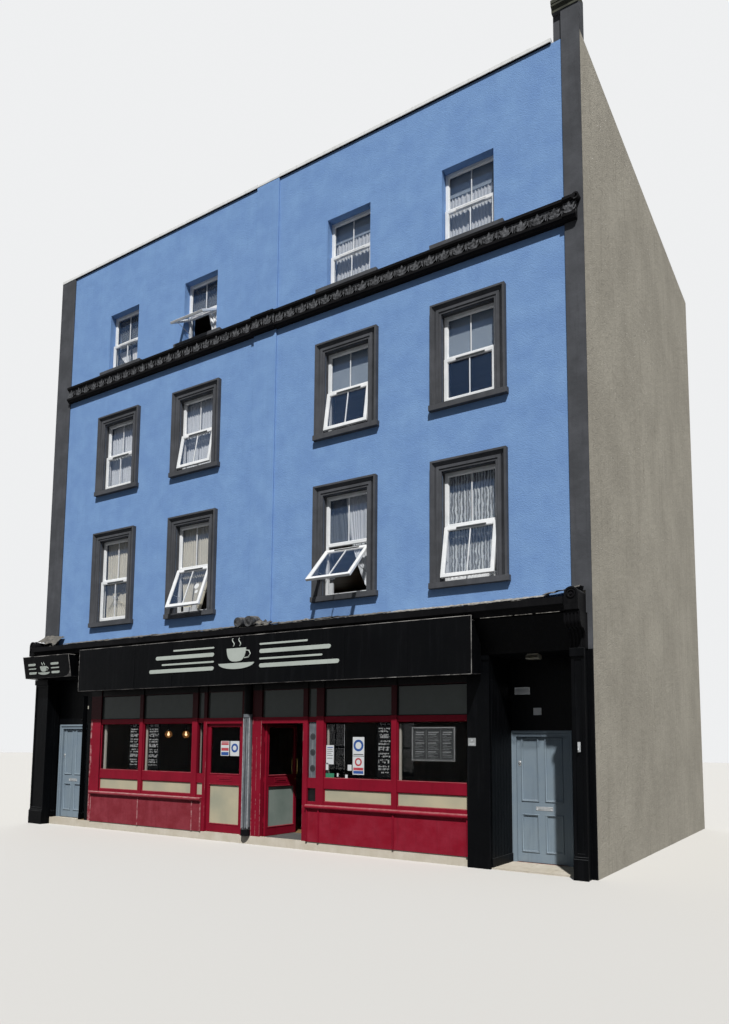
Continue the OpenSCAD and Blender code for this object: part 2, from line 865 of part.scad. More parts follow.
bays = [
    [bay_l1_x, bay_l1_w], [bay_l2_x, bay_l2_w], [slit_l_x, slit_l_w],
    [slit_r_x, slit_r_w], [bay_r1_x, bay_r1_w], [bay_r2_x, bay_r2_w]
];

// A run of low panels past the posts, with a bead at each of its joints and at both ends,
// under a ledge whose nose is rounded
module stallriser(x0, x1, joints) {
    ledge_z = stallriser_z - 10;
    block([x0, -panel_out, shop_floor_z], [x1, 0, ledge_z]);
    for (joint_x = joints)
        block([joint_x - bead_w / 2, -bead_out, shop_floor_z], [joint_x + bead_w / 2, 0, ledge_z]);
    translate([0, 0, ledge_z]) run_along(x0, x1 - x0) {
        square([ledge_out - ledge_h / 2, ledge_h]);
        translate([ledge_out - ledge_h / 2, ledge_h / 2]) circle(d = ledge_h);
    }
}

module stallrisers() {
    left_x0 = shop_x0 + post_edge_w;
    left_x1 = slit_l_x + slit_l_w;
    color(maroon) on_front() {
        stallriser(left_x0, left_x1, [
            left_x0 + bead_w / 2, bay_l2_x - bar_w / 2, slit_l_x - wide_bar_w / 2, left_x1 - bead_w / 2
        ]);
        stallriser(slit_r_x, pier_x, [
            slit_r_x + bead_w / 2, bay_r1_x - slit_r_bar_w / 2, bay_r2_x - bar_w / 2, pier_x - bead_w / 2
        ]);
        for (bay = bays) {
            block([bay[0], 0, shop_floor_z], [bay[0] + bay[1], 70, stallriser_z]);
            block([bay[0], 0, stallriser_z], [bay[0] + bay[1], 20, stallriser_z - 10 + ledge_h]);
        }
    }
}

module shop_glass() {
    color(glass_tint) on_front() {
        for (bay = bays) {
            block([bay[0], 46, display_z], [bay[0] + bay[1], 46 + glass_t, transom_z]);
            block([bay[0], 46, transom_z + transom_h], [bay[0] + bay[1], 46 + glass_t, head_z]);
        }
        block([door_l_x, 46, transom_z + transom_h], [door_l_x + door_l_w, 46 + glass_t, head_z]);
        block([door_r_x, 46, transom_z + transom_h], [door_r_x + door_r_w, 46 + glass_t, head_z]);
    }
}

module frosted_panels() {
    color("#B7B196") on_front()
    for (bay = bays)
        block([bay[0], 46, frosted_z], [bay[0] + bay[1], 46 + glass_t, display_z - 180]);
}

column_shaft_d = column_d - 28;
column_base_h = 120;
flutes = 12;
flute_d = 20;

// Fluted shaft between a round base and two collars
module iron_column() {
    h = lintel_z - shop_floor_z;
    collar_z = transom_z + transom_h - shop_floor_z;
    color("#8A8E94") on_front() translate([column_x, -10, shop_floor_z]) {
        difference() {
            cylinder(h = h, d = column_shaft_d);
            for (i = [0 : flutes - 1])
                rotate([0, 0, (i + 0.5) * 360 / flutes])
                    translate([column_shaft_d / 2 + 2, 0, column_base_h + 40])
                        cylinder(h = collar_z - column_base_h - 80, d = flute_d);
        }
        cylinder(h = column_base_h, d = column_d);
        translate([0, 0, collar_z]) cylinder(h = 60, d = column_d);
        translate([0, 0, h - 60]) cylinder(h = 60, d = column_d);
    }
}

// Doors

// Three hinge knuckles in a column on the pin line
module knuckles(x, y, floor, h) {
    for (z = [floor + 250, floor + h / 2 - knuckle_h / 2, floor + h - 250 - knuckle_h])
        translate([x, y, z]) cylinder(h = knuckle_h, d = knuckle_d);
}

module house_door_frame(w) {
    h = door_frame_h;
    difference() {
        cube([w, lining_t, h]);
        translate([jamb_w, stop_t, -eps]) cube([w - 2 * jamb_w, lining_t, h - jamb_w + eps]);
        translate([jamb_w + stop_w, -eps, -eps])
            cube([w - 2 * jamb_w - 2 * stop_w, lining_t, h - jamb_w - stop_w + eps]);
    }
}

module hinged_house_frame(w) {
    house_door_frame(w);
    knuckles(w - jamb_w - door_gap / 2, leaf_y + leaf_t + pin_back, 0, door_frame_h);
}

module house_door_frames() {
    color(door_grey) on_front() {
        translate([left_frame_x, left_recess, shop_floor_z]) hinged_house_frame(left_frame_w);
        translate([right_frame_x, right_recess, entry_floor_z]) hinged_house_frame(right_frame_w);
    }
}

// Four-panel leaf with its outer face at y = 0
module panel_leaf(w, h) {
    stile = 95;
    mid = 135;
    foot = 173;
    lock_z = h * 0.37;
    lock_h = 230;
    panel_w = (w - 2 * stile - mid) / 2;
    sink = 10;
    difference() {
        cube([w, leaf_t, h]);
        for (side = [0, 1]) {
            x = stile + side * (panel_w + mid);
            for (row = [[foot, lock_z - foot], [lock_z + lock_h, h - lock_z - lock_h - 45]])
                for (face = [-eps, leaf_t - sink])
                    translate([x, face, row[0]]) cube([panel_w, sink + eps, row[1]]);
        }
    }
}

module house_leaf(frame_x, frame_w, recess, floor) {
    translate([frame_x + jamb_w + door_gap, recess + leaf_y, floor + door_gap])
        panel_leaf(frame_w - 2 * jamb_w - 2 * door_gap, door_frame_h - jamb_w - 2 * door_gap);
}

module left_house_door() {
    color(door_grey) on_front() house_leaf(left_frame_x, left_frame_w, left_recess, shop_floor_z);
}

module right_house_door() {
    color(door_grey) on_front() house_leaf(right_frame_x, right_frame_w, right_recess, entry_floor_z);
}

cafe_leaf_h = cafe_head_z - shop_floor_z - 2 * door_gap;
cafe_mid_z = cafe_foot + cafe_panel_h;
cafe_mid_h = 190;
cafe_glass_y = leaf_t / 2;

module cafe_leaf(w) {
    difference() {
        cube([w, leaf_t, cafe_leaf_h]);
        translate([cafe_stile, -eps, cafe_foot]) cube([w - 2 * cafe_stile, leaf_t + 2 * eps, cafe_panel_h]);
        translate([cafe_stile, -eps, cafe_mid_z + cafe_mid_h])
            cube([w - 2 * cafe_stile, leaf_t + 2 * eps, cafe_leaf_h - cafe_mid_z - cafe_mid_h - cafe_top_rail]);
    }
}

module cafe_leaf_glass(w) {
    translate([cafe_stile, cafe_glass_y, cafe_foot]) cube([w - 2 * cafe_stile, glass_t, cafe_panel_h]);
    translate([cafe_stile, cafe_glass_y, cafe_mid_z + cafe_mid_h])
        cube([w - 2 * cafe_stile, glass_t, cafe_leaf_h - cafe_mid_z - cafe_mid_h - cafe_top_rail]);
}

// Puts a café door leaf in its opening, turned inward about its hinge pins on the left
module hang_cafe_leaf(x, angle) {
    on_front() translate([x + door_gap / 2, cafe_leaf_back + pin_back, shop_floor_z + door_gap])
        rotate([0, 0, angle]) translate([door_gap / 2, -pin_back - leaf_t, 0]) children();
}

module left_cafe_door() {
    color(maroon) hang_cafe_leaf(door_l_x, 0) cafe_leaf(door_l_w - 2 * door_gap);
}

module right_cafe_door() {
    color(maroon) hang_cafe_leaf(door_r_x, 90) cafe_leaf(door_r_w - 2 * door_gap);
}

module left_cafe_door_glass() {
    color(glass_tint) hang_cafe_leaf(door_l_x, 0) cafe_leaf_glass(door_l_w - 2 * door_gap);
}

module right_cafe_door_glass() {
    color(glass_tint) hang_cafe_leaf(door_r_x, 90) cafe_leaf_glass(door_r_w - 2 * door_gap);
}

// Lamps and menu case

pendant_z = 2030;
pendant_d = 160;
pendant_rod_d = 16;
pendant_in = 1000;
pendant_spread = 530;

module pendant_lamps() {
    mid_x = bay_l2_x;
    color("#E8B36A") on_front()
    for (side = [-1, 1])
        translate([mid_x + side * pendant_spread / 2, pendant_in, pendant_z]) {
            sphere(d = pendant_d);
            cylinder(h = first_z - floor_t - pendant_z, d = pendant_rod_d);
        }
}

right_lamp = [210, 170, 80];
right_lamp_x = 515;
right_lamp_in = 130;
left_lamp = [180, 50, 80];
left_lamp_over_door = 370;
left_lamp_lap = 26;

module wall_lamps() {
    color("#C9C6BC") on_front() {
        translate([right_entry_x + right_lamp_x, right_lamp_in, lintel_z - right_lamp[2]]) cube(right_lamp);
        translate([left_jamb_x - left_lamp_lap, left_recess - left_lamp[1],
                   shop_floor_z + door_frame_h + left_lamp_over_door]) cube(left_lamp);
    }
}

menu_z = 1590;
menu_h = 550;
menu_t = 35;
menu_margin = 255;

module menu_case() {
    color("#B9B9B4") on_front()
    translate([bay_r2_x + menu_margin, 46 + glass_t, menu_z]) cube([bay_r2_w - 2 * menu_margin, menu_t, menu_h]);
}

ground_floor();
upper_floor(first_z);  // first_floor
upper_floor(second_z);  // second_floor
upper_floor(third_z);  // third_floor
roof_deck();
front_wall();
party_wall(left_x);  // left_party_wall
party_wall(inner_r);  // right_party_wall
back_wall();
back_window_frames();
back_window_glass();
back_window_sills();
centre_strip();
left_pilaster();
right_pilaster();
parapet_coping();
string_course();
window_surrounds();
third_floor_sills();
window_frames();
opening_sashes();
window_glass();
net_curtains();
shop_cornice();
old_fascia();
shop_sign();
door_sign();
cornice_consoles();
shop_pilasters();
shop_pier();
left_entry_lining();
right_entry_lining();
left_bay_frame();
right_bay_frame();
cafe_door_frames();
stallrisers();
shop_glass();
frosted_panels();
iron_column();
house_door_frames();
left_house_door();
right_house_door();
left_cafe_door();
right_cafe_door();
left_cafe_door_glass();
right_cafe_door_glass();
pendant_lamps();
wall_lamps();
menu_case();
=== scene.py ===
"""Looks of the corner shop building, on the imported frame: finishes, curtains, ironmongery, signs, lead."""
import json
import math
import random

import bmesh
import bpy
from bpy.props import FloatProperty, FloatVectorProperty, PointerProperty
from mathutils import Matrix, Vector


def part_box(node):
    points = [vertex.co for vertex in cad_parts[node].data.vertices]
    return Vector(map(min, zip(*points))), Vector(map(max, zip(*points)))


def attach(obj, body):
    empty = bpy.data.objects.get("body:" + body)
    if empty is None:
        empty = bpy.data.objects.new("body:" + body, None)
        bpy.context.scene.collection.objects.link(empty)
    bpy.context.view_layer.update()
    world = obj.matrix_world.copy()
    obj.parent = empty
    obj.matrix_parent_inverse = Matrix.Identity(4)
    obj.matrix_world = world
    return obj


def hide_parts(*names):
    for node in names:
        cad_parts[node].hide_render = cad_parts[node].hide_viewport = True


bl_info = {
    "name": "Corner shop with flats",
    "version": (1, 0, 0),
    "blender": (4, 5, 0),
    "location": "View3D > Sidebar > Corner Shop",
    "description": "Dresses the packed corner shop building",
    "category": "Object",
}

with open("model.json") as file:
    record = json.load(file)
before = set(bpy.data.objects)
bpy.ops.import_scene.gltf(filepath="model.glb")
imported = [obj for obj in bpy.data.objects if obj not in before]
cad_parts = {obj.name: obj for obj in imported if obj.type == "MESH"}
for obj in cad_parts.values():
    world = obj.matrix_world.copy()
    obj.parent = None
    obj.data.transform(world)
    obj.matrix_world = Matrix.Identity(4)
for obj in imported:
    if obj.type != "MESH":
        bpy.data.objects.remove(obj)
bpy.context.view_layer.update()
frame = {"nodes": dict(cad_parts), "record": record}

# The walls and floors, in metres
FRONT = -4.5  # the street face of the front wall
SHOP_FLOOR = 0.15
PORCH_FLOOR = 0.02

# The flats' windows
WINDOW_X = (-4.037, -1.667, 2.048, 4.418)
WINDOW_W = 0.94
# Each storey: sill level, opening height, height of the lower light, how far the frame stands back
STOREYS = ((4.47, 1.85, 0.861, 0.085), (7.48, 1.56, 0.728, 0.085), (10.305, 1.37, 0.600, 0.150))
SHOP_BACK = (1.05, 1.5, 0.66, 0)  # the same for the shop's back windows
# How far each lower sash stands open, in degrees, and how far its head has slid down
SASH_ANGLES = ((0, 21, 44, 11), (0, 10, 9, 0), (0, 60, 0, 0))
SASH_DROPS = ((0, 0.020, 0.110, 0.010), (0, 0.010, 0.010, 0), (0, 0.100, 0, 0))
FRAME_BAR = 0.055
SASH_W = 0.916
SASH_BAR = 0.06
BAR_HALF = 0.008  # half the width of a front glazing bar
SURROUND_W = 0.192
WIRE_BACK = 0.1  # how far behind the frame's face the curtain wire runs
WIRE_HALF = 0.445
CLOTH_HALF = 0.435
HEM_GAP = 0.035  # how far a full net hangs clear of its sill
BLIND_Y = 4.13  # the dark blinds on the back windows

# The shopfront
CAFE_PIN = FRONT + 0.09524  # how far back the café doors' hinge pins stand
CAFE_HINGES = {"left": -1.1365, "right": 0.2435}
CAFE_LEAF = 0.044  # thickness of a café door
PANE_FACE = FRONT + 0.046  # outer face of the shop's panes
LIGHT_FOOT, LIGHT_HEAD = 1.255, 2.24  # the shop's main panes
TRANSOM_FOOT, TRANSOM_HEAD = 2.33, 2.83
SIGN_FACE = -4.98
SIGN_FOOT, SIGN_HEAD = 2.9155, 3.8145
# The sign over the left door leans: x as in the street, z up its face, y = 0 on it
DOOR_SIGN = Matrix.Translation((0, -5.0, 3.255)) @ Matrix.Rotation(math.radians(11.08), 4, "X")
PENDANT_Y, PENDANT_Z = -3.5, 2.03


# Colours and shader nodes

def linear(code):
    """An sRGB hex colour as the linear numbers that shaders use."""
    parts = [int(code[i:i + 2], 16) / 255 for i in (1, 3, 5)]
    return tuple(c / 12.92 if c <= 0.04045 else ((c + 0.055) / 1.055) ** 2.4 for c in parts) + (1,)


def add(mat, kind, inputs=None, **settings):
    """Adds a shader node. Settings are its own options; inputs are hex colours, numbers, outputs of other
    nodes, or nodes, which stand for the first of their outputs that is in use."""
    made = mat.node_tree.nodes.new("ShaderNode" + kind)
    for name, value in settings.items():
        setattr(made, name, value)
    for key, value in (inputs or {}).items():
        if isinstance(value, bpy.types.Node):
            value = next(output for output in value.outputs if output.enabled)
        if isinstance(value, bpy.types.NodeSocket):
            mat.node_tree.links.new(value, made.inputs[key])
        else:
            made.inputs[key].default_value = linear(value) if isinstance(value, str) else value
    return made


def noise(mat, place, scale, detail=2, rough=0.5):
    """Soft random patches, about scale of them to the metre, broken up as finely as detail says."""
    return add(mat, "TexNoise", {"Vector": place, "Scale": scale, "Detail": detail, "Roughness": rough})


def remap(mat, value, given, wanted=(0, 1)):
    """Carries a value's given range over to the wanted one, and holds it there past the ends."""
    return add(mat, "MapRange", {0: value, 1: given[0], 2: given[1], 3: wanted[0], 4: wanted[1]})


def mix(mat, share, one, two):
    """One colour where the share is 0 and another where it is 1."""
    return add(mat, "Mix", {0: share, 6: one, 7: two}, data_type="RGBA")


def start_finish(name):
    """An empty material, and its surface coordinates in metres."""
    mat = bpy.data.materials.new(name)
    mat.use_nodes = True
    mat.node_tree.nodes.clear()
    place = add(mat, "TexCoord").outputs["Object"]
    return mat, place


def end_finish(mat, inputs):
    """Closes a material with one Principled shader."""
    add(mat, "OutputMaterial", {"Surface": add(mat, "BsdfPrincipled", inputs)})
    return mat


def weathered(name, base, faded, dirt, rough, cloud=0.2, streak=0.3, dust=0.2, grain=0.02, bump=0.02,
              level=0.2, dust_colour="#8F8A80", metallic=0.0, lumps=0.0, shade_bands=()):
    """A painted surface: broad fading, rain streaks down it, dust on its ledges and a fine grain in it.
    Sizes are in metres: cloud is how broad the fading is, grain the grit of the surface, lumps how far a
    hand's breadth of it swells. Each band is a height and the colour that it is painted in above that."""
    mat, place = start_finish(name)
    broad = noise(mat, place, 1 / cloud, 5.0, 0.6)
    broad = remap(mat, broad, (0.38, 0.68))
    colour = mix(mat, broad, base, faded)
    long_way = add(mat, "Mapping", {"Vector": place, "Scale": (14, 14, 0.9)})
    runs = noise(mat, long_way, 1.0, 6.0, 0.65)
    runs = remap(mat, runs, (0.52, 0.78), (0, streak))
    colour = mix(mat, runs, colour, dirt)
    # each band paints a darker colour above a height, as painted shade
    for height, paint in shade_bands:
        z = add(mat, "SeparateXYZ", {0: place}).outputs[2]
        above = remap(mat, z, (height - 0.005, height + 0.015))
        colour = mix(mat, above, colour, paint)
    up = add(mat, "SeparateXYZ", {0: add(mat, "NewGeometry").outputs["Normal"]}).outputs[2]
    patchy = noise(mat, place, 9.0, 4.0)
    lying = add(mat, "Math", {0: up, 1: patchy}, operation="MULTIPLY")
    lying = remap(mat, lying, (0.15, 0.55), (0, dust))
    colour = mix(mat, lying, colour, dust_colour)
    grit = noise(mat, place, 1 / grain, 3.0)
    shine = remap(mat, grit, (0, 1), (max(rough - 0.08, 0.05), min(rough + 0.1, 1)))
    shine = add(mat, "Math", {0: shine, 1: lying}, operation="ADD", use_clamp=True)
    relief = add(mat, "Bump", {"Height": grit, "Strength": bump, "Distance": grain})
    if lumps:
        relief = add(mat, "Bump", {"Height": patchy, "Normal": relief, "Distance": lumps})
    return end_finish(mat, {"Base Color": colour, "Roughness": shine, "Normal": relief,
                            "Metallic": metallic, "Specular IOR Level": level})


FINISHES = {}


def finish(name):
    """A finish of this building, made the first time it is asked for."""
    if name not in FINISHES:
        FINISHES[name] = MAKERS[name]()
    return FINISHES[name]


def paints():
    """The paint colours that the sidebar shows."""
    return bpy.context.scene.shop_paints


def blue_render():
    """Exterior masonry paint rolled on sand render: matt, with a sandy grain and faint roller patches."""
    return weathered("rolled_masonry_paint_blue", tuple(paints().wall), "#7B9ECC", "#6585B3", 0.88,
                     cloud=0.45, streak=0.25, grain=0.014, bump=0.5, level=0.12, dust_colour="#8C97A8",
                     lumps=0.003)


def plain_render():
    """Sand and cement render left unpainted: grey-buff, floated, with damp patches."""
    return weathered("floated_cement_render", "#A9A498", "#B9B4A7", "#857F74", 0.92, cloud=1.1, streak=0.5,
                     dust=0.3, grain=0.016, bump=0.5, level=0.15, lumps=0.009)


def grey_masonry_paint():
    """Dark grey masonry paint brushed on moulded render: matt, with dusty ledges."""
    return weathered("brushed_masonry_paint_grey", tuple(paints().trim), "#525459", "#36373B", 0.8,
                     cloud=0.4, streak=0.4, dust=0.4, grain=0.008, bump=0.3, level=0.1,
                     dust_colour="#6C6E72", lumps=0.005)


def black_stucco():
    """Black masonry paint on cast stucco ornament: dull, with street dust on all that faces up."""
    return weathered("black_painted_cast_stucco", "#08080A", "#121214", "#1D1D1E", 0.7, cloud=0.3,
                     streak=0.5, dust=0.5, grain=0.006, bump=0.3, level=0.06, dust_colour="#6F7073")


def dusty_stucco():
    """The same ornament on the front of its relief: paler grey, partly paint worn thin with dust and partly
    a painted highlight.
    """
    return weathered("stucco_worn_and_highlighted", "#262729", "#6E7074", "#141415", 0.8, cloud=0.045,
                     streak=0.6, dust=0.8, grain=0.005, bump=0.5, level=0.08, dust_colour="#8B8D90")


def white_coping():
    """White paint on a concrete coping: chalky, stained along its run."""
    return weathered("white_painted_concrete", "#E4E6E7", "#D8DADA", "#A9AAA6", 0.8, cloud=0.5, streak=0.5,
                     dust=0.25, grain=0.008, bump=0.35, level=0.15)


def mossy_concrete():
    """Bare concrete coping gone green-grey with algae: gritty and blotched."""
    return weathered("algae_stained_concrete", "#3E403A", "#55574C", "#2A2B28", 0.95, cloud=0.22,
                     streak=0.6, dust=0.5, grain=0.01, bump=0.6, level=0.1, dust_colour="#6B6C5F")


def black_joinery():
    """Black exterior paint on boards: deep, slightly rippled, with dried rain marks."""
    return weathered("black_paint_on_boards", tuple(paints().black), "#090A0C", "#1B1C1F", 0.42, cloud=0.7,
                     streak=0.5, dust=0.35, grain=0.03, bump=0.05, level=0.04, dust_colour="#66686A",
                     lumps=0.004)


def worn_black():
    """The same paint where edges have worn to pale primer and dust sits: a broken grey line."""
    return weathered("worn_edge_of_black_boards", "#4C4B4B", "#ADABA8", "#1E1E1F", 0.8, cloud=0.35,
                     dust=0.5, grain=0.01, bump=0.3, level=0.1)


def maroon_joinery():
    """Maroon exterior gloss on joinery: strong red at eye level; above the transoms' foot it is painted dark
    maroon and above their head black, as painted shade under the sign.
    """
    return weathered("maroon_gloss_on_joinery", tuple(paints().maroon), "#84152A", "#560E1A", 0.42,
                     cloud=0.5, streak=0.35, dust=0.25, bump=0.06, level=0.08, dust_colour="#A07A78",
                     shade_bands=((TRANSOM_FOOT, "#32090F"), (TRANSOM_HEAD, "#08080A")))


def faded_maroon():
    """The same gloss on the low panels, chalked by sun and rain to a dull pinkish red."""
    return weathered("chalked_maroon_gloss", "#821527", "#8B2536", "#641B27", 0.55, cloud=0.35, streak=0.45,
                     dust=0.4, grain=0.012, bump=0.12, level=0.08, dust_colour="#B09896", lumps=0.006)


def worn_maroon():
    """The same gloss where sun and rain have worn it most, on the left bay: the red is a chalky pink."""
    return weathered("rubbed_maroon_gloss", "#7A2A33", "#8A3A44", "#641B27", 0.6, cloud=0.3, streak=0.55,
                     dust=0.5, grain=0.012, bump=0.12, level=0.08, dust_colour="#B8A3A0", lumps=0.006)


def bare_bead():
    """Softwood bead with its maroon paint flaking to primer: mostly pale, red in patches."""
    return weathered("flaking_painted_bead", "#862C39", "#B98D8D", "#6A1826", 0.75, cloud=0.07, streak=0.6,
                     dust=0.3, grain=0.01, bump=0.3, level=0.12)


def grey_door_paint():
    """Blue-grey satin paint brushed on a timber door: faint brush marks and streaks of dirt."""
    return weathered("brushed_satin_paint_grey", tuple(paints().door), "#7E8C96", "#55606A", 0.5, cloud=0.4,
                     streak=0.35, dust=0.3, grain=0.01, bump=0.12, level=0.12)


def grey_iron():
    """Grey paint on a cast iron column, rubbed and chipped down its flutes."""
    return weathered("painted_cast_iron", "#575C62", "#6D7277", "#A6AAAD", 0.55, cloud=0.16, streak=0.8,
                     dust=0.3, grain=0.008, bump=0.3, level=0.12)


def rubbed_iron():
    """The same paint on the column's ribs, pale as a painted highlight."""
    return weathered("rubbed_iron_paint", "#868B8F", "#A3A8AB", "#676C71", 0.55, cloud=0.06, streak=0.8,
                     dust=0.3, grain=0.008, bump=0.3, level=0.12)


def sooty_maroon():
    """Maroon gloss painted dark as shade, on the inner side of the left post."""
    return weathered("maroon_gloss_painted_shade", "#3E0C14", "#48101A", "#1C070B", 0.45, cloud=0.3, streak=0.35,
                     bump=0.06, level=0.08)


def white_upvc():
    """Extruded white uPVC: smooth and slightly glossy, greyed by rain along its length."""
    return weathered("extruded_upvc_white", tuple(paints().upvc), "#D5D9DC", "#A9AEB1", 0.35, cloud=0.25,
                     streak=0.28, level=0.3)


def threshold():
    """Sawn paving stone: pale, gritty and trodden grey."""
    return weathered("sawn_sandstone", "#C2BAAA", "#D0C9BC", "#968F82", 0.85, cloud=0.3, streak=0.2,
                     dust=0.3, grain=0.006, bump=0.5, level=0.15)


def lead():
    """Sheet lead beaten over the ledges: dull blue-grey with a white bloom."""
    return weathered("beaten_sheet_lead", "#1C1D1F", "#5B5C5E", "#101011", 0.65, cloud=0.07, streak=0.5,
                     dust=0.5, grain=0.015, bump=0.6)


def torn_lead():
    """The raw edge of old lead and mortar: almost white, broken by dark splits."""
    return weathered("torn_edge_of_lead", "#55534F", "#C9C5BD", "#1E1D1C", 0.85, cloud=0.05, streak=0.6,
                     dust=0.3, grain=0.01, bump=0.6, level=0.15)


def roof_felt():
    """Mineral-faced bitumen felt: slate-grey grit with pale wash marks."""
    return weathered("mineral_bitumen_felt", "#4B4E4F", "#5D605F", "#6E6D67", 0.95, cloud=1.4, streak=0.1,
                     dust=0.5, grain=0.004, bump=0.7, level=0.15)


def cream_card():
    """Printed card gone cream in the sun: matt."""
    return weathered("sun_creamed_card", "#C9C6BA", "#D0CEC6", "#A5A195", 0.7, cloud=0.1, streak=0.2,
                     dust=0.1, bump=0.03)


def smoky_card():
    """Grey card behind smoky acrylic."""
    return weathered("card_behind_smoky_acrylic", "#5C6062", "#727678", "#3F4243", 0.5, cloud=0.12,
                     dust=0.1, level=0.3)


def white_card():
    """Laminated white card: smooth with a little shine."""
    return weathered("laminated_white_card", "#C8CCCF", "#D0D3D5", "#AEB2B5", 0.4, streak=0.1, dust=0.1,
                     level=0.3)


def blue_print():
    """Blue printing ink on a card."""
    return weathered("printed_ink_blue", "#2C4E8C", "#35589A", "#24406F", 0.45, streak=0.1, dust=0.1)


def red_print():
    """Red printing ink on a card, faded by the sun."""
    return weathered("printed_ink_red", "#A8353F", "#B4505A", "#8A2C36", 0.45, streak=0.1, dust=0.1)


def green_print():
    """Green printing ink on a card."""
    return weathered("printed_ink_green", "#2F7458", "#3A8266", "#255C46", 0.45, streak=0.1, dust=0.1)


def sign_acrylic():
    """Routed acrylic, off-white with a green cast: satin, a little grimy in streaks."""
    return weathered("routed_acrylic_off_white", "#A9B1AB", "#B3BBB5", "#8A918C", 0.4, cloud=0.5,
                     streak=0.25, dust=0.3, level=0.3)


def chalk():
    """Chalk on a dark board: dry, broken and pale."""
    return weathered("dry_chalk", "#B9BCBE", "#D6D8D9", "#6A6C6D", 0.95, cloud=0.03, streak=0.6, dust=0.1,
                     grain=0.006, bump=0.2, level=0.1)


def blackboard():
    """Blackboard paint: dead matt, wiped grey in arcs."""
    return weathered("blackboard_paint", "#121315", "#1C1D1F", "#2B2C2D", 0.9, grain=0.01, bump=0.05,
                     level=0.1)


def case_metal():
    """Satin anodised aluminium section: pale grey, with a fine grain."""
    return weathered("satin_anodised_aluminium", "#8F9293", "#9A9D9E", "#6E7071", 0.4, grain=0.004,
                     bump=0.05, level=0.5, metallic=0.6)


def brass():
    """Lacquered brass, dulled: warm yellow metal with brown streaks."""
    return weathered("dulled_lacquered_brass", "#A48C55", "#B89D63", "#6B5833", 0.35, cloud=0.05,
                     grain=0.004, bump=0.05, level=0.5, metallic=0.9)


def stay_steel():
    """Zinc-plated steel stay: grey metal, dulled by rain."""
    return weathered("zinc_plated_steel", "#A9ADB0", "#BEC1C3", "#6A6D70", 0.4, cloud=0.05, grain=0.004,
                     bump=0.05, level=0.5, metallic=0.5)


def pale_plastic():
    """Ribbed opal polycarbonate of a bulkhead lamp, yellowed and dusty."""
    return weathered("yellowed_opal_polycarbonate", "#A5A294", "#B3B0A3", "#7B776A", 0.4, cloud=0.08,
                     dust=0.4, grain=0.01, bump=0.05, level=0.4)


def rubber():
    """Black rubber gasket and vent mesh: dull dark grey."""
    return weathered("extruded_rubber_gasket", "#3A3D40", "#45484B", "#25272A", 0.8, cloud=0.1, streak=0.2,
                     grain=0.006, bump=0.1)


def lamp_glass():
    """Blown amber glass globe: warm, half clear, with the lamp showing in it."""
    mat, place = start_finish("blown_amber_glass")
    swirl = noise(mat, place, 22.0, 2.0)
    colour = mix(mat, swirl, "#C98B45", "#E7B675")
    return end_finish(mat, {"Base Color": colour, "Roughness": 0.12, "Alpha": 0.35, "IOR": 1.5,
                            "Emission Color": colour, "Emission Strength": 0.12})


def bulb():
    """Frosted bulb, lit: warm white, brightest at its middle."""
    mat = start_finish("frosted_lit_bulb")[0]
    facing = add(mat, "LayerWeight", {0: 0.4}).outputs["Facing"]
    colour = mix(mat, facing, "#FFE2B0", "#F0A85A")
    return end_finish(mat, {"Base Color": colour, "Roughness": 0.5, "Emission Color": colour,
                            "Emission Strength": 3.0})


def cloth(name, thread, fold, alpha, weave=0.009, motif=0.0):
    """Woven cloth: threads drawn far coarser than real so that they show, paler in random slubs,
    and see-through between the threads. A motif is a lace figure repeated at that size in metres."""
    mat, place = start_finish(name)
    flat = add(mat, "Mapping", {"Vector": place, "Scale": (1 / weave, 0.0, 1 / weave)})
    threads = add(mat, "TexWave", {"Vector": flat, "Scale": 1.0, "Distortion": 1.2, "Detail": 1.0})
    threads = threads.outputs[1]
    slub = noise(mat, place, 30.0, 4.0)
    colour = mix(mat, slub, thread, fold)
    seen = remap(mat, threads, (0, 1), (max(alpha - 0.08, 0), min(alpha + 0.08, 1)))
    if motif:
        stretch = (0.31 / motif, 0.0, 0.14 / motif)
        spread = add(mat, "Mapping", {"Vector": place, "Scale": stretch})
        stems = add(mat, "TexWave", {"Vector": spread, "Scale": 1.0, "Distortion": 5.0, "Detail": 3.0,
                                     "Detail Scale": 2.4}).outputs[1]
        lace = remap(mat, stems, (0.35, 0.7), (0.3, -0.34))
        seen = add(mat, "Math", {0: seen, 1: lace}, operation="ADD", use_clamp=True)
    relief = add(mat, "Bump", {"Height": threads, "Strength": 0.2, "Distance": 0.001})
    return end_finish(mat, {"Base Color": colour, "Roughness": 0.9, "Alpha": seen, "Normal": relief,
                            "Specular IOR Level": 0.1, "Sheen Weight": 0.15, "Sheen Roughness": 0.5})


def net_fabric():
    """Polyester voile net: white, fine and half see-through."""
    return cloth("polyester_voile_net", "#D6DCE3", "#E8EBEE", 0.78)


def net_painted_shade():
    """A thin voile net painted grey as painted shade: the dark room shows through it."""
    return cloth("thin_voile_painted_shade", "#7C868F", "#A3ABB2", 0.45)


def lace():
    """Machine lace net: white, with wavy stems of leaves that run down it 50 mm apart."""
    return cloth("machine_lace_net", "#C6CDCD", "#E0E4E4", 0.62, motif=0.05)


def cream_curtain():
    """Cream cotton curtain with a slubbed weave: thick enough to hide the room."""
    return cloth("slubbed_cotton_cream", "#CCC7B5", "#DFDBCD", 0.9, weave=0.012)


def cotton():
    """White cotton hem or cloth: solid and bright."""
    return cloth("bleached_cotton", "#E6E8EA", "#E6E8EA", 0.98, weave=0.01)


def blind():
    """Roller blind of coated grey cloth: smooth and flat."""
    return cloth("coated_blind_cloth_grey", "#8C99A5", "#A0ABB5", 0.97, weave=0.014)


def dark_blind():
    """Blackout roller blind: dark grey, coated."""
    return cloth("blackout_blind_cloth", "#26282B", "#2E3033", 1.0, weave=0.014)


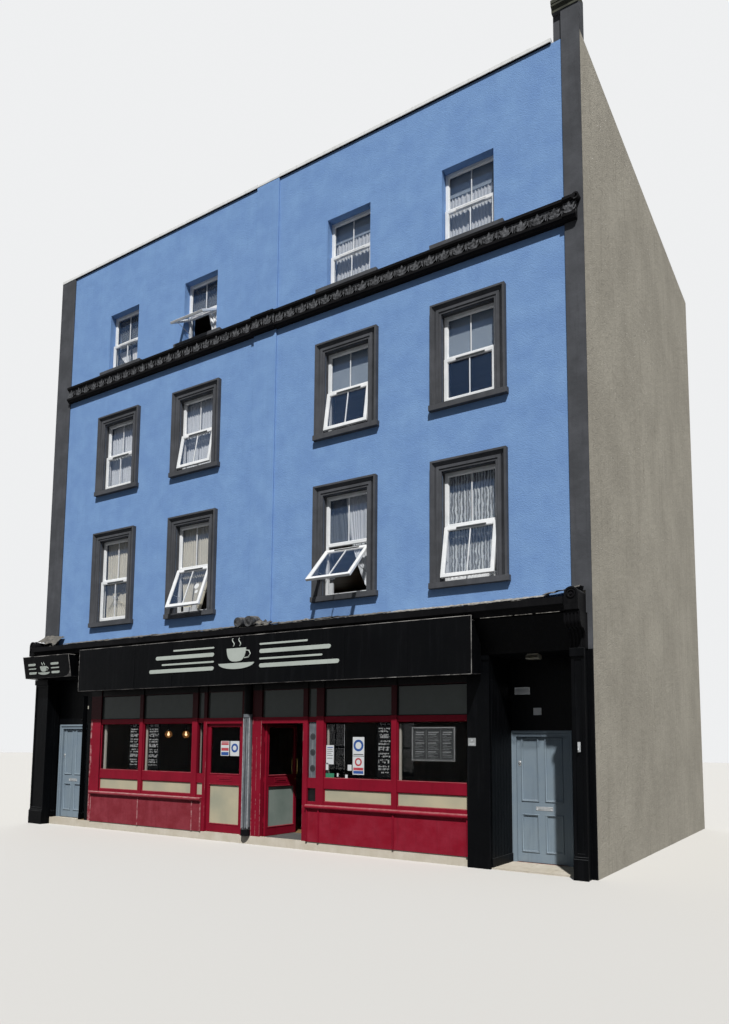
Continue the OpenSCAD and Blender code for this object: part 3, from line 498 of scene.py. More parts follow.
def timber_floor():
    """Planed softwood boards, 140 mm wide, with dark joints and long grain."""
    mat, place = start_finish("planed_softwood_boards")
    board = add(mat, "TexBrick", {"Vector": place, "Color1": "#8A6F4C", "Color2": "#745A36",
                                  "Mortar": "#2E241A", "Scale": 1.0, "Mortar Size": 0.002,
                                  "Brick Width": 2.4, "Row Height": 0.14})
    stretched = add(mat, "Mapping", {"Vector": place, "Scale": (1.5, 60, 60)})
    grain = noise(mat, stretched, 1.0, 4.0)
    tint = remap(mat, grain, (0, 1), (0, 0.5))
    colour = mix(mat, tint, board, "#5F4B30")
    return end_finish(mat, {"Base Color": colour, "Roughness": 0.6})


def pane(name, tint, alpha, smear, rough=0.03, level=0.3):
    """A glass pane: as dark as what is behind it, reflecting the street, with dried dust in soft patches."""
    mat, place = start_finish(name)
    patch = noise(mat, place, 3.0, 5.0, 0.6)
    patch = remap(mat, patch, (0.4, 0.8), (0, smear))
    colour = mix(mat, patch, tint, "#7D8183")
    dustiest = max(smear, 0.01)
    seen = remap(mat, patch, (0, dustiest), (alpha, min(alpha + smear, 1)))
    shine = remap(mat, patch, (0, dustiest), (rough, rough + 0.12))
    return end_finish(mat, {"Base Color": colour, "Roughness": shine, "Alpha": seen, "IOR": 1.52,
                            "Specular IOR Level": level})


def window_glass():
    """Float glass of the flats, over nets: a slight blue cast from the sky."""
    return pane("float_glass_upstairs", "#4E6A94", 0.11, 0.04, level=0.14)


def shop_glass():
    """Float glass of the shop, dark with the room behind it."""
    return pane("float_glass_shop", "#07090C", 0.15, 0.02, level=0.06)


def painted_glass():
    """Transom glass painted grey-green on its inside: dull colour under a glossy face."""
    return pane("back_painted_glass", "#4A514D", 1.0, 0.12, 0.12, level=0.15)


def dark_glass():
    """Glass backed with black board, beside the door."""
    return pane("black_backed_glass", "#07080A", 1.0, 0.06, 0.1, level=0.1)


def filmed_glass(name, base, faded):
    """Frosted film on glass: an even soft glare that hides the room, yellowed in clouds."""
    mat, place = start_finish(name)
    cloud = noise(mat, place, 1.1, 4.0)
    cloud = remap(mat, cloud, (0.36, 0.62))
    colour = mix(mat, cloud, base, faded)
    grit = noise(mat, place, 500.0)
    relief = add(mat, "Bump", {"Height": grit, "Strength": 0.15, "Distance": 0.001})
    return end_finish(mat, {"Base Color": colour, "Roughness": 0.45, "Normal": relief, "IOR": 1.5,
                            "Specular IOR Level": 0.2})


def frosted_glass():
    """Frosted film that the sun has yellowed: warm and cloudy."""
    return filmed_glass("frosted_film_on_glass", "#9B9B89", "#B6AE95")


def green_frosted():
    """The same film painted darker grey-green, as shade on the open right café leaf."""
    return filmed_glass("frosted_film_painted_shade", "#6F7F79", "#8A9690")


# Each finish is made by the function of its name, which is its slot's name too where the record has one
MAKERS = {make.__name__: make for make in (
    blue_render, plain_render, grey_masonry_paint, black_stucco, dusty_stucco, white_coping,
    mossy_concrete, white_upvc, window_glass, shop_glass, painted_glass, frosted_glass, green_frosted,
    dark_glass, timber_floor, roof_felt, black_joinery, worn_black, maroon_joinery, faded_maroon,
    worn_maroon, sooty_maroon, rubbed_iron, bare_bead, grey_door_paint, grey_iron, threshold, lead,
    torn_lead, cream_card, white_card, smoky_card, blue_print, green_print, red_print, sign_acrylic,
    chalk, blackboard, case_metal, brass, stay_steel, pale_plastic, rubber, lamp_glass, bulb,
    net_fabric, net_painted_shade, lace, cream_curtain, cotton, blind, dark_blind)}


# Solids that the pieces are built from

def put(made, place, x, y, z):
    """Adds a point, carried to its place where one is given."""
    point = Vector((x, y, z))
    return made.verts.new(place @ point if place else point)


def bridge(made, rows, skin=0, closed=True):
    """Joins each row of points to the next, all the way round where the rows are closed."""
    for one, two in zip(rows, rows[1:]):
        for i in range(len(one) if closed else len(one) - 1):
            k = (i + 1) % len(one)
            made.faces.new((one[i], one[k], two[k], two[i])).material_index = skin


def weave(made, rows):
    """Fills a grid of points with faces."""
    for upper, lower in zip(rows, rows[1:]):
        for a in range(len(upper) - 1):
            made.faces.new((upper[a], lower[a], lower[a + 1], upper[a + 1]))


def close_ends(made, rings, skin):
    """Closes the first and the last ring of a tube."""
    for ring in (rings[0], rings[-1]):
        made.faces.new(ring).material_index = skin


def circle(sides):
    """The angles of evenly spaced points round a circle."""
    return [2 * math.pi * i / sides for i in range(sides)]


def block(made, low, high, place=None, skin=0):
    """Adds a box between two corners."""
    points = [put(made, place, x, y, z)
              for z in (low[2], high[2]) for y in (low[1], high[1]) for x in (low[0], high[0])]
    for around in ((0, 2, 3, 1), (4, 5, 7, 6), (0, 1, 5, 4), (2, 6, 7, 3), (0, 4, 6, 2), (1, 3, 7, 5)):
        made.faces.new([points[i] for i in around]).material_index = skin


def cut_out(made, outline, near, far, place=None, skin=0):
    """Adds a flat shape cut from a board: its outline in (x, z), and where its two faces lie in y."""
    rings = [[put(made, place, x, y, z) for x, z in outline] for y in (near, far)]
    close_ends(made, rings, skin)
    bridge(made, rings, skin)


def mitred(made, low, high, profile, place=None, skin=0, filled=False):
    """Runs a moulding round a rectangle in (x, z), mitred at its corners.
    The profile is a list of (distance in from the edge, y)."""
    rings = []
    for inset, y in profile:
        left, right, foot, head = low[0] + inset, high[0] - inset, low[1] + inset, high[1] - inset
        rings.append([put(made, place, x, y, z)
                      for x, z in ((left, foot), (right, foot), (right, head), (left, head))])
    bridge(made, rings, skin)
    if filled:
        made.faces.new(rings[-1]).material_index = skin


def turned(made, profile, centre, axis="Z", sides=24, skin=0, place=None):
    """Turns a profile of (radius, height) about the Z or Y axis through the centre."""
    turn = Matrix.Rotation(math.pi / 2, 4, "X") if axis == "Y" else Matrix.Identity(4)
    move = (place or Matrix.Identity(4)) @ Matrix.Translation(centre) @ turn
    rings = [[put(made, move, radius * math.cos(t), radius * math.sin(t), height) for t in circle(sides)]
             for radius, height in profile]
    bridge(made, rings, skin)
    close_ends(made, rings, skin)


def rod(made, path, radius, sides=10, skin=0, place=None):
    """Adds a round bar that follows a path of points."""
    points = [place @ Vector(p) if place else Vector(p) for p in path]
    rings, side = [], None
    for i, point in enumerate(points):
        along = (points[min(i + 1, len(points) - 1)] - points[max(i - 1, 0)]).normalized()
        side = along.orthogonal() if side is None else side - along * side.dot(along)
        side.normalize()
        other = along.cross(side)
        rings.append([made.verts.new(point + radius * (side * math.cos(t) + other * math.sin(t)))
                      for t in circle(sides)])
    bridge(made, rings, skin)
    close_ends(made, rings, skin)


def finished(name, made, skins, body="building", soft=0.0, smooth=35):
    """Turns the collected faces into a piece that rides on a body, its edges rounded by soft metres."""
    bmesh.ops.recalc_face_normals(made, faces=made.faces)
    mesh = bpy.data.meshes.new(name)
    made.to_mesh(mesh)
    made.free()
    for skin in skins:
        mesh.materials.append(finish(skin))
    mesh.shade_smooth()
    mesh.set_sharp_from_angle(angle=math.radians(smooth))
    piece = bpy.data.objects.new(name, mesh)
    bpy.context.scene.collection.objects.link(piece)
    if soft:
        round_edges(piece, soft)
    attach(piece, body)
    return piece


def round_edges(piece, width, skin=-1):
    """Rounds the sharp edges of a piece, and may give the rounding a worn finish of its own."""
    edge = piece.modifiers.new("rounded_edges", "BEVEL")
    edge.width = width
    edge.segments = 2
    edge.limit_method = "ANGLE"
    edge.angle_limit = math.radians(40)
    edge.material = skin
    edge.use_clamp_overlap = True


def stretches(rng, start, end, length, gap):
    """Random lengths, each with a random gap after it, from start to end: yields where each one starts and
    how long it is."""
    at = start
    while at < end:
        long = rng.uniform(*length)
        yield at, long
        at += long + rng.uniform(*gap)


# The sizes and colours that the sidebar shows

class StreetStage(bpy.types.PropertyGroup):
    sun: FloatProperty(name="Sun", description="Strength of the key light", default=4.5)
    sky: FloatProperty(name="Sky", description="Strength of the light from all round", default=0.2)
    fill: FloatProperty(name="Fill", description="Strength of the weak light on the back", default=0.9)
    lens: FloatProperty(name="Lens", description="Focal length of the view from across the street",
                        default=27.39, unit="CAMERA")


def paint_swatch(name, description, code):
    """A colour in the sidebar."""
    return FloatVectorProperty(name=name, description=description, default=linear(code), size=4,
                               subtype="COLOR", min=0, max=1)


class ShopPaints(bpy.types.PropertyGroup):
    wall: paint_swatch("Wall", "Masonry paint of the front wall", "#7193C4")
    trim: paint_swatch("Trim", "Masonry paint of the surrounds and pilasters", "#45474B")
    black: paint_swatch("Shopfront black", "Paint of the fascia, signs and porches", "#050608")
    maroon: paint_swatch("Shopfront red", "Gloss of the shop window frames", "#781225")
    door: paint_swatch("House doors", "Satin paint of the two house doors", "#778693")
    upvc: paint_swatch("Windows", "Colour of the plastic windows", "#E6E8EA")


class ClothSizes(bpy.types.PropertyGroup):
    fold_pitch: FloatProperty(name="Fold pitch", description="Distance between two folds of a net",
                              default=0.066, min=0.05, max=0.2, unit="LENGTH")
    fold_depth: FloatProperty(name="Fold depth", description="How far a fold stands out to each side",
                              default=0.013, min=0.005, max=0.026, unit="LENGTH")


class SignSizes(bpy.types.PropertyGroup):
    emblem: FloatProperty(name="Cup", description="Width of the saucer on the long sign",
                          default=0.86, min=0.4, max=1.2, unit="LENGTH")
    bar: FloatProperty(name="Bars", description="Height of the thicker bar beside the cup",
                       default=0.075, min=0.03, max=0.15, unit="LENGTH")
    relief: FloatProperty(name="Relief", description="How far the cup and bars stand out",
                          default=0.014, min=0.004, max=0.02, unit="LENGTH")


class SHOP_OT_stage(bpy.types.Operator):
    """Sets the floor, the lights and the view from across the street"""
    bl_idname = "corner_shop.stage"
    bl_label = "Stage"

    def execute(self, context):
        size = context.scene.street_stage
        self.set_camera(context.scene, size.lens)
        sun = self.shine("key_light", size.sun, 1.6, (-0.32, 0.557, -0.766))
        sun.color = (1.0, 0.98, 0.95)
        self.shine("fill_light", size.fill, 50, (0.55, -0.7, -0.45))
        self.light_sky(context.scene, size.sky)
        self.lay_floor(context)
        context.scene.view_settings.view_transform = "Standard"
        return {"FINISHED"}

    def set_camera(self, scene, lens):
        """The photograph's view: its place, turn and shift were fitted to the corners of the front."""
        camera = bpy.data.objects.new("street_view", bpy.data.cameras.new("street_view"))
        camera.location = (9.434, -15.790, 1.809)
        camera.rotation_euler = [math.radians(a) for a in (95.977, -0.698, 33.857)]
        camera.data.lens = lens
        camera.data.sensor_width = 36
        camera.data.shift_x = 0.0299
        camera.data.shift_y = 0.1493
        camera.data.clip_end = 500
        scene.collection.objects.link(camera)
        scene.camera = camera

    def shine(self, name, strength, spread, way):
        """A lamp as far off as the sun that shines one way; spread is how wide it looks, in degrees."""
        lamp = bpy.data.objects.new(name, bpy.data.lights.new(name, "SUN"))
        lamp.data.energy = strength
        lamp.data.angle = math.radians(spread)
        lamp.rotation_euler = Vector(way).to_track_quat("-Z", "Y").to_euler()
        bpy.context.scene.collection.objects.link(lamp)
        return lamp.data

    def seen(self, mat):
        """One for a ray from the camera, from gloss or through glass, and nothing for a ray that lights."""
        path = add(mat, "LightPath").outputs
        both = add(mat, "Math", {0: path["Is Camera Ray"], 1: path["Is Glossy Ray"]}, operation="MAXIMUM")
        return add(mat, "Math", {0: both, 1: path["Is Transmission Ray"]}, operation="MAXIMUM")

    def light_sky(self, scene, strength):
        """Lights from all round, and shows a white backdrop."""
        world = bpy.data.worlds.new("pale_studio")
        scene.world = world
        world.use_nodes = True
        world.node_tree.nodes.clear()
        lit = add(world, "Background", {"Color": "#E6EDF8", "Strength": strength})
        shown = add(world, "Background", {"Color": "#F4F5F6", "Strength": 0.95})
        both = add(world, "MixShader", {0: self.seen(world), 1: lit, 2: shown})
        add(world, "OutputWorld", {"Surface": both})

    def lay_floor(self, context):
        """A plain pale floor that throws little light up at the building."""
        bpy.ops.mesh.primitive_plane_add(size=240)
        floor = context.object
        floor.name = "pale_floor"
        mat = start_finish("pale_studio_floor")[0]
        tone = mix(mat, self.seen(mat), "#5A5A5A", "#CBCAC7")
        end_finish(mat, {"Base Color": tone, "Roughness": 0.95, "Specular IOR Level": 0.0})
        floor.data.materials.append(mat)


class SHOP_OT_finishes(bpy.types.Operator):
    """Gives every built part its finish, and rounds or wears its edges"""
    bl_idname = "corner_shop.finishes"
    bl_label = "Finishes"

    def execute(self, context):
        for part in frame["record"]["subparts"]:
            node = frame["nodes"][part["node"]]
            node.data.materials.clear()
            node.data.materials.append(finish(part["material_slot"]))
        for name, skin in (("shop_glass", "shop_glass"), ("left_cafe_door_glass", "shop_glass"),
                           ("right_cafe_door_glass", "shop_glass"), ("stallrisers", "faded_maroon"),
                           ("shop_cornice", "black_stucco")):
            frame["nodes"][name].data.materials[0] = finish(skin)
        for name, skin, wanted in (
                ("front_wall", "grey_masonry_paint", self.in_moulded_reveal),
                ("front_wall", "black_joinery", lambda c, n: n.z < -0.5 and c.z < 3.3),
                ("front_wall", "plain_render", lambda c, n: n.y > 0.5),
                ("ground_floor", "threshold", lambda c, n: n.y < -0.5 and c.y < -4.4),
                ("shop_glass", "painted_glass", lambda c, n: c.z > LIGHT_HEAD + 0.06),
                ("left_cafe_door_glass", "frosted_glass", lambda c, n: c.z < 1.1),
                # the open right leaf's lower pane is painted grey-green as shade
                ("right_cafe_door_glass", "green_frosted", lambda c, n: c.z < 1.1),
                # the left post's inner side is painted dark maroon as shade
                ("left_bay_frame", "sooty_maroon", lambda c, n: n.x > 0.5 and c.x < -4.2 and c.z > 1.2),
                ("frosted_panels", "dark_glass", lambda c, n: 1.28 < c.x < 1.49),
                ("stallrisers", "worn_maroon", lambda c, n: c.x < 0),
                ("stallrisers", "bare_bead",
                 lambda c, n: c.x < 0 and n.y < -0.5 and abs(c.y - (FRONT - 0.022)) < 0.003),
                # the column above the transoms is painted black as shade under the sign
                ("iron_column", "black_joinery", lambda c, n: c.z > SHOP_FLOOR + 2.3),
                ("iron_column", "black_stucco", lambda c, n: c.z < 0.3 and abs(n.z) < 0.5),
                # the relief's front faces are paler grey: dust and wear, partly a painted highlight
                ("string_course", "dusty_stucco", lambda c, n: abs(n.y) > 0.7 and 9.96 < c.z < 10.15),
                # the coping's underside is painted black as shade under its overhang
                ("parapet_coping", "black_stucco", lambda c, n: n.z < -0.5),
                ("parapet_coping", "mossy_concrete", lambda c, n: -0.15 < c.x < 0.42),
                ("right_pilaster", "mossy_concrete", lambda c, n: c.z > 13.5)):
            self.split(name, skin, wanted)
        for name, width in (("window_surrounds", 0.006), ("left_pilaster", 0.006), ("centre_strip", 0.008),
                            ("third_floor_sills", 0.008), ("parapet_coping", 0.012),
                            ("window_frames", 0.004), ("opening_sashes", 0.006),
                            ("cornice_consoles", 0.004), ("back_window_sills", 0.008),
                            ("left_house_door", 0.003), ("right_house_door", 0.003),
                            ("shop_pilasters", 0.004)):
            self.soften(name, width)
        self.soften("shop_sign", 0.009, "worn_black")
        self.soften("door_sign", 0.008, "worn_black")
        return {"FINISHED"}

    def in_moulded_reveal(self, centre, normal):
        """True for the sides of an opening on the two storeys that have moulded surrounds."""
        if abs(normal.y) > 0.5 or centre.y > FRONT + 0.331:
            return False
        near = 0.01
        beside = any(abs(centre.x - x) < WINDOW_W / 2 + near for x in WINDOW_X)
        return beside and any(sill - near < centre.z < sill + high + near
                              for sill, high, *rest in STOREYS[:2])

    def split(self, name, skin, wanted):
        """Gives the faces of one part that a test picks out, by their middle and normal, another finish."""
        mesh = frame["nodes"][name].data
        mesh.materials.append(finish(skin))
        for face in mesh.polygons:
            if wanted(face.center, face.normal):
                face.material_index = len(mesh.materials) - 1

    def soften(self, name, width, skin=None):
        """Rounds a built part's edges, and may wear the rounding to another finish."""
        part = frame["nodes"][name]
        weld = part.modifiers.new("joined_corners", "WELD")
        weld.merge_threshold = 0.0001
        if skin:
            part.data.materials.append(finish(skin))
        round_edges(part, width, len(part.data.materials) - 1 if skin else -1)


def sash_place(storey, column):
    """Where an opening sash hangs: x along it from its left edge, z up from its head, y = 0 at its back."""
    sill, high, low, back = STOREYS[storey]
    head = sill + FRAME_BAR + low + 0.012 - SASH_DROPS[storey][column]
    return (Matrix.Translation((WINDOW_X[column] - SASH_W / 2, FRONT + back, head))
            @ Matrix.Rotation(-math.radians(SASH_ANGLES[storey][column]), 4, "X"))


class SHOP_OT_surround_mouldings(bpy.types.Operator):
    """Runs a hollow moulding up the sides and over the heads of the eight moulded surrounds"""
    bl_idname = "corner_shop.surround_mouldings"
    bl_label = "Surround mouldings"

    def execute(self, context):
        hollow = ((0.030, 0.0905), (0.036, 0.0925), (0.044, 0.078), (0.056, 0.060), (0.074, 0.044),
                  (0.099, 0.033), (0.101, 0.028))
        inner_bead = ((0.137, 0.0605), (0.142, 0.064), (0.150, 0.062), (0.156, 0.045))
        made = bmesh.new()
        for sill, high, *rest in STOREYS[:2]:
            for x in WINDOW_X:
                self.run_moulding(made, x, sill, sill + high, hollow)
                self.run_moulding(made, x, sill, sill + high, inner_bead)
        finished("surround_hollows", made, ["grey_masonry_paint"], smooth=50)
        return {"FINISHED"}

    def run_moulding(self, made, x, sill, head, profile):
        """One moulding up, over and down an opening; the profile is a list of (distance in, how far out)."""
        rows, foot = [], sill - 0.02
        for inset, out in profile:
            side, top = WINDOW_W / 2 + SURROUND_W - inset, head + SURROUND_W - inset
            rows.append([put(made, None, x + dx, FRONT - out, z)
                         for dx, z in ((-side, foot), (-side, top), (side, top), (side, foot))])
        bridge(made, rows, closed=False)


class SHOP_OT_window_fittings(bpy.types.Operator):
    """Fits the glazing bars, beads, vents, handles and stays of the upper windows"""
    bl_idname = "corner_shop.window_fittings"
    bl_label = "Window fittings"

    def execute(self, context):
        bars, beads, vents, metal = (bmesh.new() for kind in range(4))
        for storey, (sill, high, low, back) in enumerate(STOREYS):
            for column in range(4):
                self.fit_upper_light(bars, beads, storey, column)
                self.fit_sash(bars, beads, vents, metal, storey, column)
        for sill, high, low, back in (*STOREYS, SHOP_BACK):
            self.fit_back(bars, sill, high, low)
        finished("glazing_bars", bars, ["white_upvc"], soft=0.003)
        finished("glazing_beads", beads, ["white_upvc"])
        finished("trickle_vents", vents, ["rubber", "white_upvc"])
        finished("sash_stays", metal, ["stay_steel", "white_upvc"])
        return {"FINISHED"}

    def fit_upper_light(self, bars, beads, storey, column):
        """A vertical bar and a sloping bead in the fixed light over the meeting rail."""
        sill, high, low, back = STOREYS[storey]
        x, y = WINDOW_X[column], FRONT + back
        foot, head = sill + 2 * FRAME_BAR + low, sill + high - FRAME_BAR
        block(bars, (x - BAR_HALF, y + 0.024, foot), (x + BAR_HALF, y + 0.046, head))
        side = WINDOW_W / 2 - FRAME_BAR
        mitred(beads, (x - side, foot), (x + side, head),
               ((0, y + 0.008), (0.006, y + 0.01), (0.016, y + 0.029)))

    def fit_sash(self, bars, beads, vents, metal, storey, column):
        """A bar, bead, trickle vent, handle and two stays on one opening sash."""
        full, place, middle = STOREYS[storey][2] + 0.024, sash_place(storey, column), SASH_W / 2
        block(bars, (middle - BAR_HALF, -0.036, SASH_BAR - full), (middle + BAR_HALF, -0.012, -SASH_BAR),
              place)
        mitred(beads, (SASH_BAR, SASH_BAR - full), (SASH_W - SASH_BAR, -SASH_BAR),
               ((0, -0.046), (0.006, -0.044), (0.014, -0.026)), place)
        self.fit_vent(vents, place, storey == 2)
        block(metal, (middle - 0.014, 0.0, 0.012 - full), (middle + 0.014, 0.012, 0.048 - full), place, 1)
        handle = ((0, 0.012, 0.03), (0, 0.034, 0.03), (0.06, 0.04, 0.032), (0.11, 0.036, 0.034))
        rod(metal, [(middle + x, y, z - full) for x, y, z in handle], 0.008, 10, 1, place)
        if SASH_ANGLES[storey][column]:
            self.fit_stays(metal, place, full, storey, column)

    def fit_vent(self, vents, place, hooded):
        """A trickle vent on a sash's head, with a white hood over it on the third floor."""
        left, right, skin, slots = 0.24 * SASH_W, 0.8 * SASH_W, 1 if hooded else 0, 14
        block(vents, (left, -0.058, -0.058), (right, -0.05, -0.03), place, skin)
        for i in range(slots):
            x = left + 0.012 + i * (right - left - 0.024) / slots
            block(vents, (x, -0.0595, -0.053), (x + 0.026, -0.058, -0.036), place, skin)
        if hooded:
            block(vents, (left - 0.01, -0.0615, -0.032), (right + 0.01, -0.05, -0.024), place, skin)

    def fit_stays(self, metal, place, full, storey, column):
        """Friction stays from the sash's edges to tracks in the frame."""
        sill, high, low, back = STOREYS[storey]
        y, track_z = FRONT + back, sill + FRAME_BAR + low * 0.34
        for side, edge in ((-0.5, 0.012), (0.5, SASH_W - 0.012)):
            x = WINDOW_X[column] + side * (WINDOW_W - 2 * FRAME_BAR + 0.012)
            foot, on_sash = Vector((x, y + 0.02, track_z)), place @ Vector((edge, -0.01, -0.62 * full))
            rod(metal, (foot, foot.lerp(on_sash, 0.5), on_sash), 0.006, 8)
            block(metal, (x - 0.002, y + 0.01, track_z - 0.02),
                  (x + 0.002, y + 0.03, sill + FRAME_BAR + low * 0.8))
            on_head = place @ Vector((edge, -0.01, -0.1 * full))
            rod(metal, ((x, y + 0.02, track_z + 0.28 * low), on_head), 0.005, 8)

    def fit_back(self, bars, sill, high, low):
        """The same vertical bars in the windows of the back wall."""
        for x in WINDOW_X:
            for foot, head in ((sill + FRAME_BAR, sill + FRAME_BAR + low),
                               (sill + 2 * FRAME_BAR + low, sill + high - FRAME_BAR)):
                block(bars, (x - 0.012, 4.366, foot), (x + 0.012, 4.394, head))


def along(edge):
    """An edge of a cloth as a function of how far along it is; a plain number holds all the way."""
    return edge if callable(edge) else lambda share: edge


def scallops(gap, rise):
    """A hem of nine scallops that hangs gap over the sill."""
    return lambda u: gap + rise * abs(math.sin(9 * math.pi * u))


class SHOP_OT_curtains(bpy.types.Operator):
    """Hangs the nets, curtains and blinds of the flats"""
    bl_idname = "corner_shop.curtains"
    bl_label = "Curtains"

    def execute(self, context):
        self.stretch_wires()
        self.dress_top_floor()
        self.dress_second_floor()
        self.dress_first_floor()
        self.stand_on_sills()
        self.shade_shop_back()
        return {"FINISHED"}

    def stretch_wires(self):
        """A wire over each window, between two small brackets."""
        wires = bmesh.new()
        for sill, high, low, back in STOREYS:
            y, head = FRONT + back + WIRE_BACK, sill + high
            for x in WINDOW_X:
                rod(wires, [(x + step, y, head - 0.028) for step in (-WIRE_HALF, 0, WIRE_HALF)], 0.004)
                for near, far in ((-WIRE_HALF - 0.006, -WIRE_HALF), (WIRE_HALF, WIRE_HALF + 0.006)):
                    block(wires, (x + near, y - 0.01, head - 0.04), (x + far, y + 0.01, head - 0.01))
        finished("curtain_wires", wires, ["white_upvc"])

    def hang(self, name, column, storey, skin, seed, set_back=0.0, depth=1.0, pitch=1.0,
             left=-CLOTH_HALF, right=CLOTH_HALF, top=0.0, foot=HEM_GAP, flat_at=0.3, replaces=True,
             hangs_from="curtain_wires"):
        """A gathered cloth. Left and right are how far its edges lie from the window's middle, at each share
        of its drop, and foot is how far its hem hangs above the sill, at each share of its width."""
        size = bpy.context.scene.cloth_sizes
        sill, high, low, back = STOREYS[storey]
        left, right, foot = along(left), along(right), along(foot)
        middle, y, z_top = WINDOW_X[column], FRONT + back + WIRE_BACK + set_back, sill + high - 0.03 - top
        widest = max(right(v) - left(v) for v in (0, 0.25, 0.5, 0.75, 1))
        folds = max(3, round(widest / (size.fold_pitch * pitch)))
        across, down = folds * 10, 22

        def at(u, v):
            z_foot = sill + foot(u)
            wander = (0.3 * math.sin(2 * math.pi * (1.7 * u + seed))
                      + 0.1 * math.sin(5.1 * v + 7 * seed + 3 * u))
            swing = math.sin(2 * math.pi * (folds * u + wander))
            crisp = swing + 0.22 * math.sin(4 * math.pi * (folds * u + wander) + seed)
            out = size.fold_depth * depth * (0.55 + 0.45 * min(1.0, 3 * v)) * crisp / 1.15
            x = left(v) + (right(v) - left(v)) * u
            return Vector((middle + x, y + out, z_top + (z_foot - z_top) * v))

        width = sum((at((a + 1) / across, flat_at) - at(a / across, flat_at)).length for a in range(across))
        drop = sum((at(0.5, (d + 1) / down) - at(0.5, d / down)).length for d in range(down))
        self.sew(name, at, across, down, (width, drop), skin, replaces, hangs_from)

    def sew(self, name, at, across, down, flat, skin, replaces=True, hangs_from="curtain_wires"):
        """Makes a cloth from a function that gives each point's place. How large it was cut (flat) is not
        used.
        """
        made = bmesh.new()
        weave(made, [[made.verts.new(at(a / across, d / down)) for a in range(across + 1)]
                     for d in range(down + 1)])
        piece = finished(name, made, [skin], smooth=80)
        if replaces:
            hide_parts("net_curtains")

    def roll_down(self, name, column, storey, drop):
        """A roller blind: a slightly bowed sheet with a bar sewn in its hem."""
        sill, high, low, back = STOREYS[storey]
        middle, y, z_top = WINDOW_X[column], FRONT + back + WIRE_BACK - 0.006, sill + high - 0.03

        def at(u, v):
            bow = 0.002 * math.sin(math.pi * u) * math.sin(math.pi * v)
            return Vector((middle + (u - 0.5) * 2 * CLOTH_HALF, y - bow, z_top - drop * v))

        self.sew(name, at, 24, 24, (2 * CLOTH_HALF, drop), "blind")
        bar, foot = bmesh.new(), z_top - drop
        block(bar, (middle - CLOTH_HALF, y - 0.004, foot - 0.012),
              (middle + CLOTH_HALF, y + 0.006, foot + 0.012))
        finished(name + "_bar", bar, ["blind"], soft=0.003)

    def dress_top_floor(self):
        """Nets on the third floor: one with swags, a short one over pleats, two under half-drawn blinds."""
        # the grey of these thin nets is painted shade
        self.hang("net_third_left", 0, 2, "net_painted_shade", 0.2, 0.002)
        swag = {"top": 0.80, "replaces": False, "hangs_from": "net_third_left"}
        self.hang("swag_third_left", 0, 2, "cotton", 0.5, -0.014, 0.4, 0.8, lambda v: -0.42 + 0.26 * v,
                  lambda v: -0.02 - 0.02 * v, foot=lambda u: 0.09 + 0.10 * abs(2 * u - 1), **swag)
        self.hang("swag_third_left_inner", 0, 2, "cotton", 0.1, -0.014, 0.4, 0.8, lambda v: 0.02 + 0.06 * v,
                  lambda v: 0.40 - 0.10 * v, foot=lambda u: 0.05 + 0.16 * u, **swag)
        self.hang("net_third_inner", 1, 2, "net_painted_shade", 0.7, 0.002, foot=0.64)
        self.hang("net_third_inner_pleats", 1, 2, "cotton", 0.3, 0.002, 1.5, left=lambda v: 0.14 * v,
                  top=0.67, hangs_from="net_third_inner")
        self.roll_down("blind_third_right_house", 2, 2, 0.34)
        self.hang("net_third_right_house", 2, 2, "net_fabric", 0.4, 0.008, 0.9, top=0.02)
        self.roll_down("blind_third_right", 3, 2, 0.36)
        self.hang("net_third_right", 3, 2, "net_fabric", 0.9, 0.008, 0.9, top=0.02)

    def dress_second_floor(self):
        """White nets in the left house, blinds in the right."""
        self.hang("net_second_left", 0, 1, "net_fabric", 0.3, depth=1.1)
        self.hang("net_second_left_lining", 0, 1, "net_fabric", 0.8, 0.004, 0.8, 1.3, top=0.02)
        self.hang("net_second_inner", 1, 1, "net_fabric", 0.55, depth=1.1)
        self.hang("net_second_inner_lining", 1, 1, "net_fabric", 0.1, 0.004, 0.8, 1.3, top=0.02)
        self.roll_down("blind_second_right_house", 2, 1, 0.73)
        self.roll_down("blind_second_right", 3, 1, 0.73)

    def dress_first_floor(self):
        """Cream curtains in the left house, a net drawn aside and a lace net in the right."""
        def tied(v):
            """How far the tie pulls a curtain in."""
            return math.exp(-((v - 0.70) / 0.11) ** 2)

        self.hang("curtain_first_left", 0, 0, "cream_curtain", 0.25, -0.006, 0.9, 0.9,
                  lambda v: -0.43 + 0.27 * tied(v), lambda v: 0.43 - 0.50 * tied(v) - 0.05 * v, flat_at=0.1)
        self.hang("net_first_left", 0, 0, "cream_curtain", 0.6, 0.012, 0.35, 1.5, top=0.02)
        self.tie_bow(WINDOW_X[0] - 0.115, FRONT + 0.085 + 0.072, STOREYS[0][0] + 0.575)
        self.hang("curtain_first_inner", 1, 0, "cream_curtain", 0.75, -0.004,
                  left=lambda v: -CLOTH_HALF + 0.12 * max(0, v - 0.5),
                  right=lambda v: CLOTH_HALF - 0.62 * max(0, v - 0.42))
        self.hang("net_first_right_house", 2, 0, "net_fabric", 0.35, depth=0.8,
                  left=lambda v: -0.10 + 0.24 * v * v, foot=lambda u: 0.04 + 0.55 * (1 - u) ** 1.6)
        # this thin net's grey is painted shade
        self.hang("net_first_right_house_left", 2, 0, "net_painted_shade", 0.6, 0.004, 0.9, 1.2,
                  right=lambda v: -0.10 + 0.10 * v, foot=0.98)
        self.hang("lace_first_right", 3, 0, "lace", 0.15, depth=0.8, foot=scallops(0.05, 0.035))
        self.hang("lace_hem_first_right", 3, 0, "cotton", 0.15, -0.010, 0.5, top=1.68,
                  foot=scallops(0.04, 0.03), replaces=False, hangs_from="lace_first_right")

